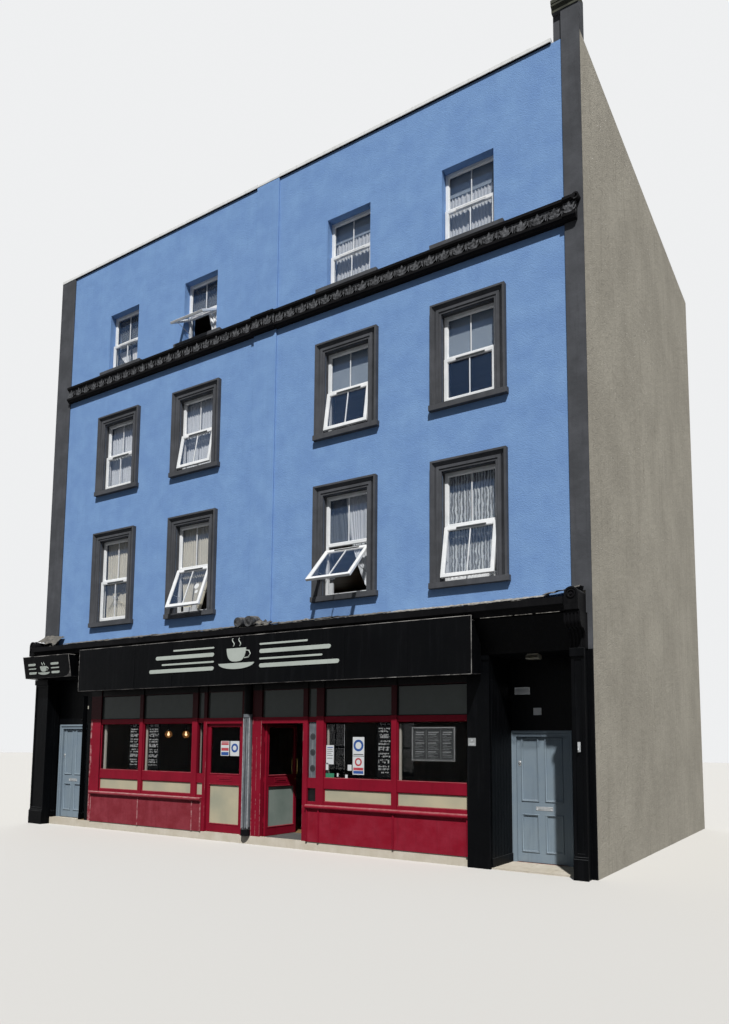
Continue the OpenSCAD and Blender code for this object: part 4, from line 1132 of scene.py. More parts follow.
    def tie_bow(self, x, y, z):
        """The bow of the curtain's tie: two loops and two tails."""
        bow = bmesh.new()
        for side in (-1, 1):
            loop = ((0, 0), (0.05, 0.03), (0.075, 0), (0.05, -0.03), (0, 0))
            rod(bow, [(x + side * dx, y, z + dz) for dx, dz in loop], 0.008, 8)
            tail = ((0, 0), (0.02, -0.09), (0.045, -0.17))
            rod(bow, [(x + side * dx, y, z + dz) for dx, dz in tail], 0.007, 8)
        finished("curtain_tie_first_left", bow, ["cotton"], smooth=60)

    def stand_on_sills(self):
        """Small white boxes that stand on three of the inner sills, and two round stickers on a pane."""
        made = bmesh.new()
        for column, storey, left, wide, tall in ((1, 0, -0.30, 0.20, 0.085), (1, 0, -0.06, 0.11, 0.11),
                                                 (1, 1, -0.40, 0.26, 0.03), (1, 1, 0.10, 0.24, 0.035),
                                                 (2, 0, -0.40, 0.08, 0.2)):
            sill, high, low, back = STOREYS[storey]
            x, y, z = WINDOW_X[column] + left, FRONT + back, sill + FRAME_BAR
            block(made, (x, y + 0.004, z), (x + wide, y + 0.055, z + tall))
        finished("boxes_on_sills", made, ["white_card"], soft=0.004)
        disc, place = bmesh.new(), sash_place(0, 1)
        for x, z, radius in ((0.70, -0.45, 0.062), (0.735, -0.58, 0.04)):
            turned(disc, ((radius, 0), (radius, 0.001), (radius * 0.7, 0.0015)), (x, -0.0262, z), "Y", 24, 0,
                   place)
        finished("round_stickers", disc, ["white_card"])

    def shade_shop_back(self):
        """Dark roller blinds drawn over the shop's back windows, so that the room stays dim."""
        rollers = bmesh.new()
        for x in WINDOW_X:
            rod(rollers, ((x - 0.5, BLIND_Y, 2.62), (x + 0.5, BLIND_Y, 2.62)), 0.022, 16)
            for end in (x - 0.5, x + 0.5):
                block(rollers, (end - 0.004, BLIND_Y - 0.03, 2.59), (end + 0.004, BLIND_Y + 0.04, 2.65))
        finished("shop_blind_rollers", rollers, ["rubber"])
        wide, drop = 0.98, 1.62
        for i, x in enumerate(WINDOW_X):
            def at(u, v, x=x):
                wave = 0.003 * math.sin(3 * math.pi * v)
                return Vector((x + (u - 0.5) * wide, BLIND_Y + wave, 2.6 - drop * v))
            self.sew("shop_back_blind_%d" % (i + 1), at, 8, 24, (wide, drop), "dark_blind", False,
                     "shop_blind_rollers")


class SHOP_OT_house_doors(bpy.types.Operator):
    """Adds the panel mouldings and ironmongery of the two house doors"""
    bl_idname = "corner_shop.house_doors"
    bl_label = "House doors"

    def execute(self, context):
        for side, left, width, face, foot, latch_z, plate_x, plate_z in (
                ("left", -5.737, 0.756, FRONT + 0.195, SHOP_FLOOR + 0.007, 1.537, -5.359, 0.957),
                ("right", 4.823, 0.828, FRONT + 0.895, PORCH_FLOOR + 0.007, 1.586, 5.269, 0.84)):
            body = side + "_house_leaf"
            made = bmesh.new()
            self.mould_panels(made, left, width, face, foot)
            finished(side + "_door_panels", made, ["grey_door_paint"], body)
            metal = bmesh.new()
            self.fit_latch(metal, left + 0.053, face, latch_z)
            self.fit_letter_plate(metal, plate_x, face, plate_z)
            finished(side + "_door_metal", metal, ["stay_steel", "stay_steel", "rubber"], body, soft=0.0015)
        self.line_frames()
        self.pave_entries()
        return {"FINISHED"}

    def mould_panels(self, made, left, width, face, foot):
        """A bold bead round each of the four sunk panels."""
        stile, muntin = 0.095, 0.135
        panel = (width - 2 * stile - muntin) / 2
        bead = ((-0.018, face), (-0.016, face - 0.011), (-0.005, face - 0.016), (0.006, face - 0.006),
                (0.012, face - 0.005), (0.015, face + 0.0095))
        for x in (left + stile, left + stile + panel + muntin):
            for low, high in ((0.173, 0.735), (0.965, 1.941)):
                mitred(made, (x, foot + low), (x + panel, foot + high), bead, filled=True)

    def fit_latch(self, metal, x, face, z):
        """A night latch on its backplate."""
        block(metal, (x - 0.026, face - 0.003, z - 0.052), (x + 0.026, face, z + 0.034))
        latch = ((0.024, 0.0), (0.024, 0.007), (0.018, 0.012), (0.0165, 0.018), (0.004, 0.018))
        turned(metal, latch, (x, face, z), "Y", 24)
        block(metal, (x - 0.0015, face - 0.0185, z - 0.007), (x + 0.0015, face - 0.0178, z + 0.007), None, 2)

    def fit_letter_plate(self, metal, middle, face, low):
        """A letter plate with a raised flap, its lower edge at low."""
        mitred(metal, (middle - 0.138, low), (middle + 0.138, low + 0.063),
               ((0.0, face), (0.001, face - 0.004), (0.008, face - 0.006), (0.012, face - 0.0035)),
               None, 1, True)
        block(metal, (middle - 0.10, face - 0.009, low + 0.02), (middle + 0.10, face - 0.003, low + 0.045),
              None, 1)

    def line_frames(self):
        """Mitred architraves up the sides and over the heads of the two doorways."""
        frames, out, lap = bmesh.new(), 0.03, 0.012
        for left, right, face, foot in ((-5.794, -4.924, FRONT + 0.15, SHOP_FLOOR),
                                        (4.766, 5.708, FRONT + 0.85, PORCH_FLOOR)):
            top = foot + 2.05
            for outline in (
                    ((left - out, foot), (left + lap, foot), (left + lap, top), (left - out, top + out)),
                    ((right - lap, foot), (right + out, foot), (right + out, top + out), (right - lap, top)),
                    ((left + lap, top - lap), (right - lap, top - lap), (right + out, top + out),
                     (left - out, top + out))):
                cut_out(frames, outline, face - 0.018, face)
        finished("door_architraves", frames, ["grey_door_paint"], soft=0.005)

    def pave_entries(self):
        """Paving slabs in the right porch, a worn step at the left door and sills under the café doors."""
        made = bmesh.new()
        for i, (x0, x1) in enumerate(((4.756, 5.185), (5.19, 5.62), (5.625, 6.05))):
            for k, (y0, y1) in enumerate(((FRONT, -4.075), (-4.07, -3.655))):
                block(made, (x0, y0, PORCH_FLOOR), (x1, y1, PORCH_FLOOR + 0.004 + 0.001 * ((i + k) % 2)))
        block(made, (-5.79, FRONT, SHOP_FLOOR), (-4.93, FRONT + 0.145, SHOP_FLOOR + 0.006))
        for x0, x1 in ((-1.138, -0.242), (0.242, 1.188)):
            block(made, (x0, FRONT, SHOP_FLOOR), (x1, FRONT + 0.04, SHOP_FLOOR + 0.004))
        finished("entry_paving", made, ["threshold"], soft=0.003)
        mat = bmesh.new()
        mitred(mat, (0.31, 0.0), (1.17, 0.9),
               ((0.0, -0.0035), (0.0, -0.006), (0.02, -0.008), (0.03, -0.0065)),
               Matrix.Translation((0, FRONT + 0.06, SHOP_FLOOR - 0.0035))
               @ Matrix.Rotation(-math.pi / 2, 4, "X"), 0, True)
        finished("shop_door_mat", mat, ["rubber"])
        strip = bmesh.new()
        block(strip, (4.82, -3.654, PORCH_FLOOR), (5.65, -3.64, PORCH_FLOOR + 0.006))
        finished("threshold_strip", strip, ["faded_maroon"], soft=0.002)


def cafe_leaf_place(side, angle):
    """Where a café door leaf hangs: x from its hinge edge, y = 0 at its outer face, z up from its foot."""
    return (Matrix.Translation((CAFE_HINGES[side], CAFE_PIN, SHOP_FLOOR + 0.007))
            @ Matrix.Rotation(math.radians(angle), 4, "Z")
            @ Matrix.Translation((0.0035, -0.005238 - CAFE_LEAF, 0)))


class SHOP_OT_cafe_doors(bpy.types.Operator):
    """Adds the beads, handles, letter slot and cards of the two café doors"""
    bl_idname = "corner_shop.cafe_doors"
    bl_label = "Café doors"

    def execute(self, context):
        for side, angle, width in (("left", 0, 0.886), ("right", 90, 0.936)):
            place, body = cafe_leaf_place(side, angle), side + "_cafe_leaf"
            beads = bmesh.new()
            for low, high in ((0.15, 0.905), (1.095, 2.011)):
                for y, out in ((0.0, -1), (CAFE_LEAF, 1)):
                    bead = ((-0.006, y), (-0.004, y + out * 0.006), (0.008, y + out * 0.006),
                            (0.016, y - out * 0.016))
                    mitred(beads, (0.06, low), (width - 0.06, high), bead, place)
            finished(side + "_cafe_beads", beads, ["maroon_joinery"], body)
            metal = bmesh.new()
            self.fit_metal(metal, place, width, side == "right")
            finished(side + "_cafe_metal", metal, ["brass", "maroon_joinery", "rubber"], body, soft=0.0015)
        self.pin_cards(cafe_leaf_place("left", 0))
        return {"FINISHED"}

    def fit_metal(self, metal, place, width, both):
        """A pull on one or both sides, the lock's cylinder and a painted letter plate in the middle rail."""
        x = width - 0.032
        for y, out in ((0.0, -1), (CAFE_LEAF, 1))[0 if both else 1:]:
            pull = ((0, 1.12), (0.03, 1.12), (0.044, 1.16), (0.044, 1.36), (0.03, 1.4), (0, 1.4))
            rod(metal, [(x, y + out * reach, z) for reach, z in pull], 0.009, 12, 0, place)
            turned(metal, ((0.018, -0.004), (0.018, 0.004), (0.01, 0.007)), (x, y, 1.02), "Y", 20, 0, place)
        mitred(metal, (0.255, 0.965), (0.655, 1.06),
               ((0, 0), (0.002, -0.004), (0.012, -0.005), (0.02, -0.001)), place, 1, True)
        block(metal, (0.31, -0.008, 1.0), (0.60, -0.001, 1.03), place, 1)
        block(metal, (0.31, -0.0045, 0.996), (0.60, -0.0005, 0.9995), place, 2)

    def pin_cards(self, place):
        """Two plain white cards on the left door's glass, one with plain bands, one with a blue ring."""
        made = bmesh.new()
        hinge, face = -CAFE_HINGES["left"] - 0.0035, 0.0208
        for left, right, banded in ((hinge - 0.815, hinge - 0.60, True),
                                    (hinge - 0.575, hinge - 0.35, False)):
            block(made, (left, face, 1.448), (right, 0.0219, 1.731), place)
            if banded:
                for low, high, skin in ((1.70, 1.722, 2), (1.655, 1.69, 2), (1.545, 1.60, 2),
                                        (1.46, 1.52, 1)):
                    block(made, (left + 0.015, 0.02, low), (right - 0.015, face, high), place, skin)
            else:
                for radius, y, sides, skin in ((0.085, face, 32, 1), (0.045, 0.0201, 24, 0)):
                    turned(made, ((radius, 0), (radius, 0.0008)), ((left + right) / 2, y, 1.6), "Y", sides,
                           skin, place)
        finished("left_cafe_cards", made, ["white_card", "blue_print", "red_print"], "left_cafe_leaf")


class SHOP_OT_signs(bpy.types.Operator):
    """Puts a plain cup and bars on the two signs, and joints and worn edges on their boards"""
    bl_idname = "corner_shop.signs"
    bl_label = "Signs"

    def execute(self, context):
        size = context.scene.sign_sizes
        motif = bmesh.new()
        face = Matrix.Translation((0, SIGN_FACE, 0))
        self.draw_cup(motif, face, 0.0, 3.20, size.emblem, size.relief)
        for side in (-1, 1):
            near, far = side * (size.emblem / 2 + 0.12), side * (size.emblem / 2 + 0.12 + 1.72)
            for low, tall, end in ((3.20, size.bar, 1.0), (3.345, size.bar * 0.45, 0.8),
                                   (3.46, size.bar, 0.9), (3.61, size.bar * 0.45, 0.62)):
                self.draw_bar(motif, face, near, near + (far - near) * end, low, tall, size.relief)
        finished("sign_cup_and_bars", motif, ["sign_acrylic"], soft=0.002, smooth=40)
        small = bmesh.new()
        self.draw_cup(small, DOOR_SIGN, -5.6, 0.07, 0.42, size.relief * 0.8)
        for left, right in ((-6.13, -5.87), (-5.33, -5.06)):
            for low, tall in ((0.09, 0.05), (0.20, 0.025), (0.28, 0.05)):
                self.draw_bar(small, DOOR_SIGN, left, right, low, tall, size.relief * 0.8)
        finished("door_sign_cup_and_bars", small, ["sign_acrylic"], soft=0.0015, smooth=40)
        self.join_sheets()
        self.wear_edges()
        return {"FINISHED"}

    def draw_bar(self, made, face, start, end, low, tall, relief):
        """One plain raised bar with round ends."""
        left, right = min(start, end), max(start, end)
        radius, outline = tall / 2, []
        for side, x in ((1, right - radius), (-1, left + radius)):
            for i in range(9):
                a = math.pi * (i / 8 - 0.5)
                outline.append((x + side * radius * math.cos(a), low + radius + side * radius * math.sin(a)))
        cut_out(made, outline, -relief, 0.002, face)

    def draw_cup(self, made, face, x, z, width, relief):
        """A cup on a saucer, seen from the side, with two wisps of steam."""
        half_turn, foot = [math.pi * (1 + i / 16) for i in range(17)], z + width * 0.16
        saucer = [(x + width * 0.5 * math.cos(a), z + width * 0.13 * (1 + math.sin(a))) for a in half_turn]
        cut_out(made, saucer, -relief, 0.002, face)
        bowl = [(x + width * 0.27 * math.copysign(abs(math.cos(a)) ** 0.6, math.cos(a)),
                 foot + width * 0.29 * (1 + math.sin(a))) for a in half_turn]
        cut_out(made, bowl, -relief, 0.002, face)
        ear = ((0.27, 0.23), (0.35, 0.22), (0.39, 0.15), (0.34, 0.08), (0.23, 0.07))
        rod(made, [(x + width * across, -relief / 2, foot + width * up) for across, up in ear],
            relief * 0.8, 10, 0, face)
        for side in (-0.09, 0.09):
            wisp = [(x + width * (side + 0.03 * math.sin(i * 1.2)), -relief / 2,
                     foot + width * (0.33 + 0.035 * i)) for i in range(6)]
            rod(made, wisp, relief * 0.7, 8, 0, face)

    def join_sheets(self):
        """The raised joints between the sheets of the long sign, and its screw caps."""
        made = bmesh.new()
        joints = (-2.735, -1.665, 0.166, 2.36, 3.55)
        for x in joints:
            block(made, (x - 0.012, SIGN_FACE - 0.0035, 2.93), (x + 0.012, SIGN_FACE + 0.001, 3.80))
        for x in sorted(joints + (-4.40, -3.6, -0.75, 1.2, 4.60)):
            for z in (2.965, 3.765):
                turned(made, ((0.011, -0.001), (0.011, 0.003), (0.007, 0.005)), (x, SIGN_FACE, z), "Y", 12)
        finished("sign_joints", made, ["black_joinery"], soft=0.001)

    def wear_edges(self):
        """Strips of paint worn to bare wood along the signs' edges."""
        rng = random.Random(7)
        made = bmesh.new()
        near, far = SIGN_FACE - 0.0012, SIGN_FACE + 0.0005
        for x0, x1, z in ((-4.46, 4.65, SIGN_HEAD), (1.9, 4.65, SIGN_FOOT)):
            for x, wide in stretches(rng, x0, x1, (0.05, 0.32), (0.0, 0.06)):
                if rng.random() < 0.72:
                    deep = rng.uniform(0.003, 0.010)
                    low = z - deep if z == SIGN_HEAD else z
                    block(made, (x, near, low), (min(x + wide, x1), far, low + deep))
        for z in (3.0, 3.17, 3.36, 3.52, 3.66):
            block(made, (-4.465, near, z), (-4.457, far, z + rng.uniform(0.05, 0.16)))
        torn = [(-4.70, 0.0), (-4.70, 0.16), (-4.712, 0.13), (-4.72, 0.11), (-4.735, 0.10), (-4.75, 0.065),
                (-4.80, 0.05), (-4.83, 0.022), (-4.90, 0.015), (-4.93, 0.002)]
        cut_out(made, torn, -0.0012, 0.001, DOOR_SIGN)
        for left, right in ((-6.3, -6.05), (-5.9, -5.35), (-5.1, -4.72)):
            block(made, (left, -0.0003, 0.484), (right, 0.001, 0.492), DOOR_SIGN)
        finished("sign_worn_edges", made, ["worn_black"])


class SHOP_OT_leadwork(bpy.types.Operator):
    """Dresses the lead over the shop cornice: rolls, torn flashing and flaps over the consoles"""
    bl_idname = "corner_shop.leadwork"
    bl_label = "Leadwork"

    def execute(self, context):
        self.torn_flashing()
        self.rolls()
        self.scraps()
        self.broken_lip()
        return {"FINISHED"}

    def crumpled(self, name, corners, rows, columns, skin, rough, seed, thick=0.005):
        """A crumpled sheet of lead between four corners, with torn lower and side edges."""
        rng = random.Random(seed)
        made = bmesh.new()
        a, b, c, d = (Vector(p) for p in corners)
        normal = (b - a).cross(d - a).normalized()
        grid = []
        for r in range(rows + 1):
            row = []
            for k in range(columns + 1):
                u, v = k / columns, r / rows
                if r == rows:
                    v += rng.uniform(-0.22, 0.0)
                if k in (0, columns):
                    u += rng.uniform(0, 0.05) * (1 if k == 0 else -1)
                point = a.lerp(b, u).lerp(d.lerp(c, u), v)
                row.append(made.verts.new(point + normal * rng.uniform(0, rough)))
            grid.append(row)
        weave(made, grid)
        faces = list(made.faces)
        bmesh.ops.recalc_face_normals(made, faces=faces)
        bmesh.ops.solidify(made, geom=faces, thickness=thick)
        finished(name, made, [skin], smooth=50)

    def torn_flashing(self):
        """The flashing along the back of the cornice, lapped and lifted, in eight lengths."""
        rng = random.Random(3)
        edges = (-5.55, -4.1, -2.6, -1.35, -0.32, 0.55, 1.9, 3.0, 4.3, 5.72)
        for i, (x0, x1) in enumerate(zip(edges, edges[1:]), 1):
            if i == 5:  # the rolls lie here
                continue
            lift = rng.uniform(0.0, 0.02)
            self.crumpled("flashing_%d" % i, ((x0, -4.506, 4.095), (x1 + 0.03, -4.506, 4.095 + lift),
                                              (x1 + 0.03, -4.72, 4.026 + lift), (x0, -4.72, 4.026)),
                          3, 24, "torn_lead" if i > 7 else "lead", 0.010, 19 + i)

    def rolls(self):
        """Two rolled ends of lead at the foot of the middle strip."""
        made = bmesh.new()
        end_y, end_z = -4.78, 4.105
        for x, radius in ((-0.165, 0.098), (0.095, 0.104)):
            path = ((-4.545, 4.135), (-4.64, 4.125), (-4.74, 4.11), (end_y, end_z))
            rod(made, [(x, y, z) for y, z in path], radius, 24)
            coil = ((0.98, -0.002), (0.9, 0.012), (0.55, 0.006), (0.5, -0.02), (0.2, -0.022))
            turned(made, [(radius * share, out) for share, out in coil], (x, end_y, end_z), "Y", 24)
        finished("lead_rolls", made, ["lead"], smooth=60)

    def scraps(self):
        """Rumpled sheets beside the rolls, a torn slab over the left console and a flap over the right."""
        for name, corners, rows, columns, skin, rough, seed, thick in (
                ("lead_rumple", ((0.18, -4.545, 4.20), (0.50, -4.545, 4.12), (0.52, -4.79, 4.02),
                                 (0.2, -4.79, 4.06)), 7, 12, "lead", 0.05, 5, 0.005),
                ("lead_scrap", ((0.55, -4.60, 4.085), (0.72, -4.62, 4.08), (0.72, -4.75, 4.03),
                                (0.56, -4.76, 4.03)), 2, 4, "lead", 0.012, 9, 0.005),
                ("lead_pale_rumple", ((1.16, -4.56, 4.10), (1.33, -4.56, 4.105), (1.33, -4.68, 4.06),
                                      (1.17, -4.68, 4.06)), 3, 5, "torn_lead", 0.03, 12, 0.005),
                ("left_console_lead", ((-6.21, -4.56, 4.32), (-5.6, -4.545, 4.26), (-5.6, -4.83, 4.01),
                                       (-6.2, -4.86, 4.12)), 5, 12, "lead", 0.035, 14, 0.006),
                ("left_console_flap", ((-6.33, -4.56, 4.19), (-6.12, -4.56, 4.19), (-6.12, -4.94, 4.1),
                                       (-6.325, -4.94, 4.095)), 4, 5, "lead", 0.016, 16, 0.005),
                ("right_console_lead", ((5.62, -4.53, 4.13), (6.24, -4.54, 4.20), (6.25, -4.93, 4.115),
                                        (5.70, -4.88, 4.04)), 5, 12, "lead", 0.028, 18, 0.006)):
            self.crumpled(name, corners, rows, columns, skin, rough, seed, thick)

    def broken_lip(self):
        """Chipped pale lip along the cornice's upper edge, stronger at the right, and three below it."""
        rng = random.Random(11)
        made = bmesh.new()
        start, top_z, front_y = -6.1, 3.9605, -5.0
        for x, wide in stretches(rng, start, 6.0, (0.04, 0.22), (0.01, 0.12)):
            if rng.random() < 0.35 + 0.4 * (x - start) / 12.1:
                top = top_z + rng.uniform(0.001, 0.006)
                y = front_y + rng.uniform(0.001, 0.006)
                block(made, (x, y, 3.95 - rng.uniform(0, 0.006)),
                      (min(x + wide, 6.03), -4.985 + rng.uniform(0, 0.02), top))
        for x0, x1 in ((4.8, 5.3), (5.34, 5.6), (5.66, 6.0)):
            block(made, (x0, -4.99, 3.746), (x1, -4.972, 3.7505))
        finished("cornice_broken_lip", made, ["torn_lead"])


class SHOP_OT_lamps(bpy.types.Operator):
    """Makes the two lamps at the entries and the two pendants in the window"""
    bl_idname = "corner_shop.lamps"
    bl_label = "Lamps"

    def execute(self, context):
        self.right_entry_lamp()
        self.left_entry_lamp()
        for side, x in (("left", -3.205), ("right", -2.675)):
            self.pendant(side, x)
        return {"FINISHED"}

    def right_entry_lamp(self):
        """A bulkhead lamp: a ribbed box under a backplate."""
        made = bmesh.new()
        low, high = Vector((5.265, -4.37, 3.17)), Vector((5.475, -4.2, 3.25))
        block(made, (low.x + 0.02, low.y + 0.02, high.z - 0.018), (high.x - 0.02, high.y - 0.02, high.z))
        mitred(made, (low.x, low.z), (high.x, high.z - 0.016),
               ((0.014, low.y), (0.002, low.y + 0.012), (0.0, (low.y + high.y) / 2), (0.002, high.y - 0.012),
                (0.014, high.y)), None, 1, True)
        for i in range(7):
            x = low.x + 0.03 + i * 0.025
            block(made, (x, low.y + 0.016, low.z), (x + 0.006, high.y - 0.016, low.z + 0.004), None, 1)
        lamp = finished("right_entry_lamp", made, ["pale_plastic", "pale_plastic"],
                        soft=0.003)
        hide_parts("wall_lamps")

    def left_entry_lamp(self):
        """A small round sensor lamp on a plate over the left door."""
        made = bmesh.new()
        turned(made, ((0.036, -0.05), (0.036, -0.034), (0.030, -0.030), (0.030, -0.012), (0.034, -0.010),
                      (0.034, 0.0), (0.01, 0.006)), (-4.86, -4.352, 2.61), "Y", 28)
        block(made, (-4.95, -4.36, 2.575), (-4.77, -4.35, 2.645))
        finished("left_entry_lamp", made, ["pale_plastic"], soft=0.002)

    def pendant(self, side, x):
        """A glass globe with a lit bulb in it, on a thin rod from the ceiling."""
        centre, radius = (x, PENDANT_Y, PENDANT_Z), 0.079
        globe = bmesh.new()
        profile = [(max(radius * math.cos(a), 0.004), radius * math.sin(a))
                   for a in (math.pi * (i / 14 - 0.5) for i in range(14))]
        turned(globe, profile, centre, "Z", 32)
        shade = finished(side + "_pendant_globe", globe, ["lamp_glass"], smooth=80)
        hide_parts("pendant_lamps")
        fitting = bmesh.new()
        cap = ((0.02, 0.072), (0.026, 0.076), (0.026, 0.115), (0.012, 0.13), (0.008, 0.15))
        turned(fitting, cap, centre, "Z", 20)
        rod(fitting, [(x, PENDANT_Y, z) for z in (2.17, 2.9, 3.645)], 0.006, 10)
        turned(fitting, ((0.05, 1.595), (0.045, 1.615), (0.02, 1.62)), centre, "Z", 20)
        finished(side + "_pendant_fitting", fitting, ["rubber"], smooth=40)
        lit = bmesh.new()
        turned(lit, ((0.004, -0.035), (0.02, -0.028), (0.028, -0.008), (0.026, 0.01), (0.014, 0.035),
                     (0.012, 0.06)), centre, "Z", 20)
        finished(side + "_pendant_bulb", lit, ["bulb"], smooth=80)


class SHOP_OT_menu_case(bpy.types.Operator):
    """Makes the glazed card case behind the right window's pane"""
    bl_idname = "corner_shop.menu_case"
    bl_label = "Card case"

    def execute(self, context):
        low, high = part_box("menu_case")
        self.frame_case(low, high)
        self.fill_case(high[1] - 0.0085)
        glass = bmesh.new()
        block(glass, (low[0] + 0.02, low[1] + 0.006, low[2] + 0.02),
              (high[0] - 0.02, low[1] + 0.009, high[2] - 0.02))
        finished("card_case_glass", glass, ["shop_glass"])
        return {"FINISHED"}

    def frame_case(self, low, high):
        """The case's rim and back, two hinges at its left and a lock at its right."""
        made = bmesh.new()
        (x0, y0, z0), (x1, y1, z1) = low, high
        mitred(made, (x0, z0), (x1, z1), ((0.0, y1), (0.0, y0 + 0.003), (0.003, y0), (0.018, y0),
                                          (0.022, y0 + 0.005), (0.022, y1 - 0.005)))
        block(made, (x0 + 0.005, y1 - 0.008, z0 + 0.005), (x1 - 0.005, y1 - 0.002, z1 - 0.005))
        for z in (z0 + 0.12, z1 - 0.12):
            rod(made, ((x0, y0 + 0.012, z - 0.022), (x0, y0 + 0.012, z + 0.022)), 0.005, 10)
        lock = (x1 - 0.01, y0, (z0 + z1) / 2)
        turned(made, ((0.008, -0.002), (0.008, 0.003), (0.004, 0.004)), lock, "Y", 16)
        case = finished("card_case_frame", made, ["case_metal"], soft=0.0008)
        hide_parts("menu_case")

    def fill_case(self, y):
        """Three cards side by side, each with plain bars of uneven length for its lines."""
        cards, foot, head = bmesh.new(), 1.63, 2.10
        for i, (x0, x1) in enumerate(((3.385, 3.60), (3.615, 3.86), (3.875, 4.095))):
            block(cards, (x0, y - 0.001, foot), (x1, y, head))
            block(cards, (x0 + 0.03, y - 0.0016, head - 0.055), (x1 - 0.03, y - 0.001, head - 0.035),
                  None, 1)
            z, n = head - 0.085, 0
            while z > foot + 0.03:
                cut = (0.0, 0.045, 0.02, 0.09, 0.01)[(n + i) % 5]
                tall = 0.016 if n % 5 == 0 else 0.005
                block(cards, (x0 + 0.025, y - 0.0014, z), (x1 - 0.03 - cut, y - 0.001, z + tall), None, 1)
                z -= 0.024 if n % 5 != 4 else 0.045
                n += 1
        finished("card_case_sheets", cards, ["smoky_card", "white_card"])


class SHOP_OT_window_cards(bpy.types.Operator):
    """Puts bare cards, chalked boards and pale inner posts in the shop window"""
    bl_idname = "corner_shop.window_cards"
    bl_label = "Window cards"

    def execute(self, context):
        self.cards()
        self.posts()
        self.boards()
        return {"FINISHED"}

    def cards(self):
        """White cards on the pane beside the café door, with plain bands and rings."""
        made = bmesh.new()
        for x0, x1, z0, z1, skin in ((1.67, 1.83, 1.50, 1.83, 0), (1.665, 1.72, 1.40, 1.52, 0),
                                     (1.665, 1.84, 1.27, 1.345, 2), (1.90, 1.93, 1.29, 1.35, 0),
                                     (2.07, 2.12, 1.27, 1.33, 0), (2.12, 2.20, 1.40, 1.50, 0),
                                     (2.22, 2.45, 1.655, 1.974, 0), (2.22, 2.45, 1.336, 1.645, 0)):
            block(made, (x0, PANE_FACE - 0.0012, z0), (x1, PANE_FACE + 0.0002, z1), None, skin)
        for x0, x1, z0, z1, skin in ((1.69, 1.81, 1.785, 1.80, 1), (1.69, 1.80, 1.755, 1.765, 4),
                                     (1.69, 1.81, 1.72, 1.73, 4), (1.69, 1.78, 1.685, 1.695, 4),
                                     (1.69, 1.81, 1.65, 1.66, 4), (1.69, 1.80, 1.60, 1.61, 4),
                                     (2.235, 2.435, 1.352, 1.40, 1), (2.235, 2.435, 1.41, 1.455, 3),
                                     (2.235, 2.435, 1.67, 1.685, 4)):
            block(made, (x0, PANE_FACE - 0.0018, z0), (x1, PANE_FACE - 0.001, z1), None, skin)
        for z, wide, skin in ((1.83, 0.10, 1), (1.55, 0.07, 3)):
            turned(made, ((wide, 0), (wide, 0.0008)), (2.335, PANE_FACE - 0.001, z), "Y", 32, skin)
            hole = wide * 0.6
            turned(made, ((hole, 0), (hole, 0.0006)), (2.335, PANE_FACE - 0.0018, z), "Y", 28, 0)
        finished("window_cards", made, ["white_card", "blue_print", "green_print", "red_print", "rubber"])

    def posts(self):
        """Pale posts and a shelf inside the shop's panes."""
        made = bmesh.new()
        for x0, x1 in ((-4.25, -4.20), (-3.07, -2.91), (-1.475, -1.395), (2.975, 3.125), (1.645, 1.672)):
            block(made, (x0, FRONT + 0.11, LIGHT_FOOT), (x1, FRONT + 0.15, LIGHT_HEAD - 0.04))
        for x0, x1 in ((-4.25, -2.99), (-2.99, -1.50), (1.65, 3.05), (3.05, 4.38)):
            block(made, (x0, FRONT + 0.10, LIGHT_FOOT - 0.045), (x1, FRONT + 0.36, LIGHT_FOOT - 0.02))
        finished("window_shelf_posts", made, ["cream_card"], soft=0.004)

    def boards(self):
        """Chalkboards that hang inside the panes, with plain chalk strokes for their lines."""
        rng = random.Random(5)
        made = bmesh.new()
        y, foot, head = FRONT + 0.075, 1.30, 2.235
        for x0, x1 in ((-3.40, -3.12), (-2.83, -2.52), (2.69, 2.96)):
            block(made, (x0, y, foot), (x1, y + 0.012, head))
            mitred(made, (x0 - 0.008, foot - 0.008), (x1 + 0.008, head + 0.004),
                   ((0, y + 0.012), (0, y - 0.003), (0.014, y - 0.003), (0.014, y)), None, 2)
            z, n = 2.17, 0
            while z > 1.36:
                tall = (0.044, 0.026, 0.030, 0.022)[n % 4]
                for x, wide in stretches(rng, x0 + 0.025, x1 - 0.04, (0.008, 0.03), (0.004, 0.012)):
                    if rng.random() < 0.84:
                        low = z + tall * rng.choice((0.0, 0.0, 0.35))
                        block(made, (x, y - 0.0012, low),
                              (min(x + wide, x1 - 0.02), y, z + tall * rng.choice((1.0, 1.0, 0.6))), None, 1)
                z -= tall + 0.022
                n += 1
        finished("chalkboards", made, ["blackboard", "chalk", "black_joinery"])


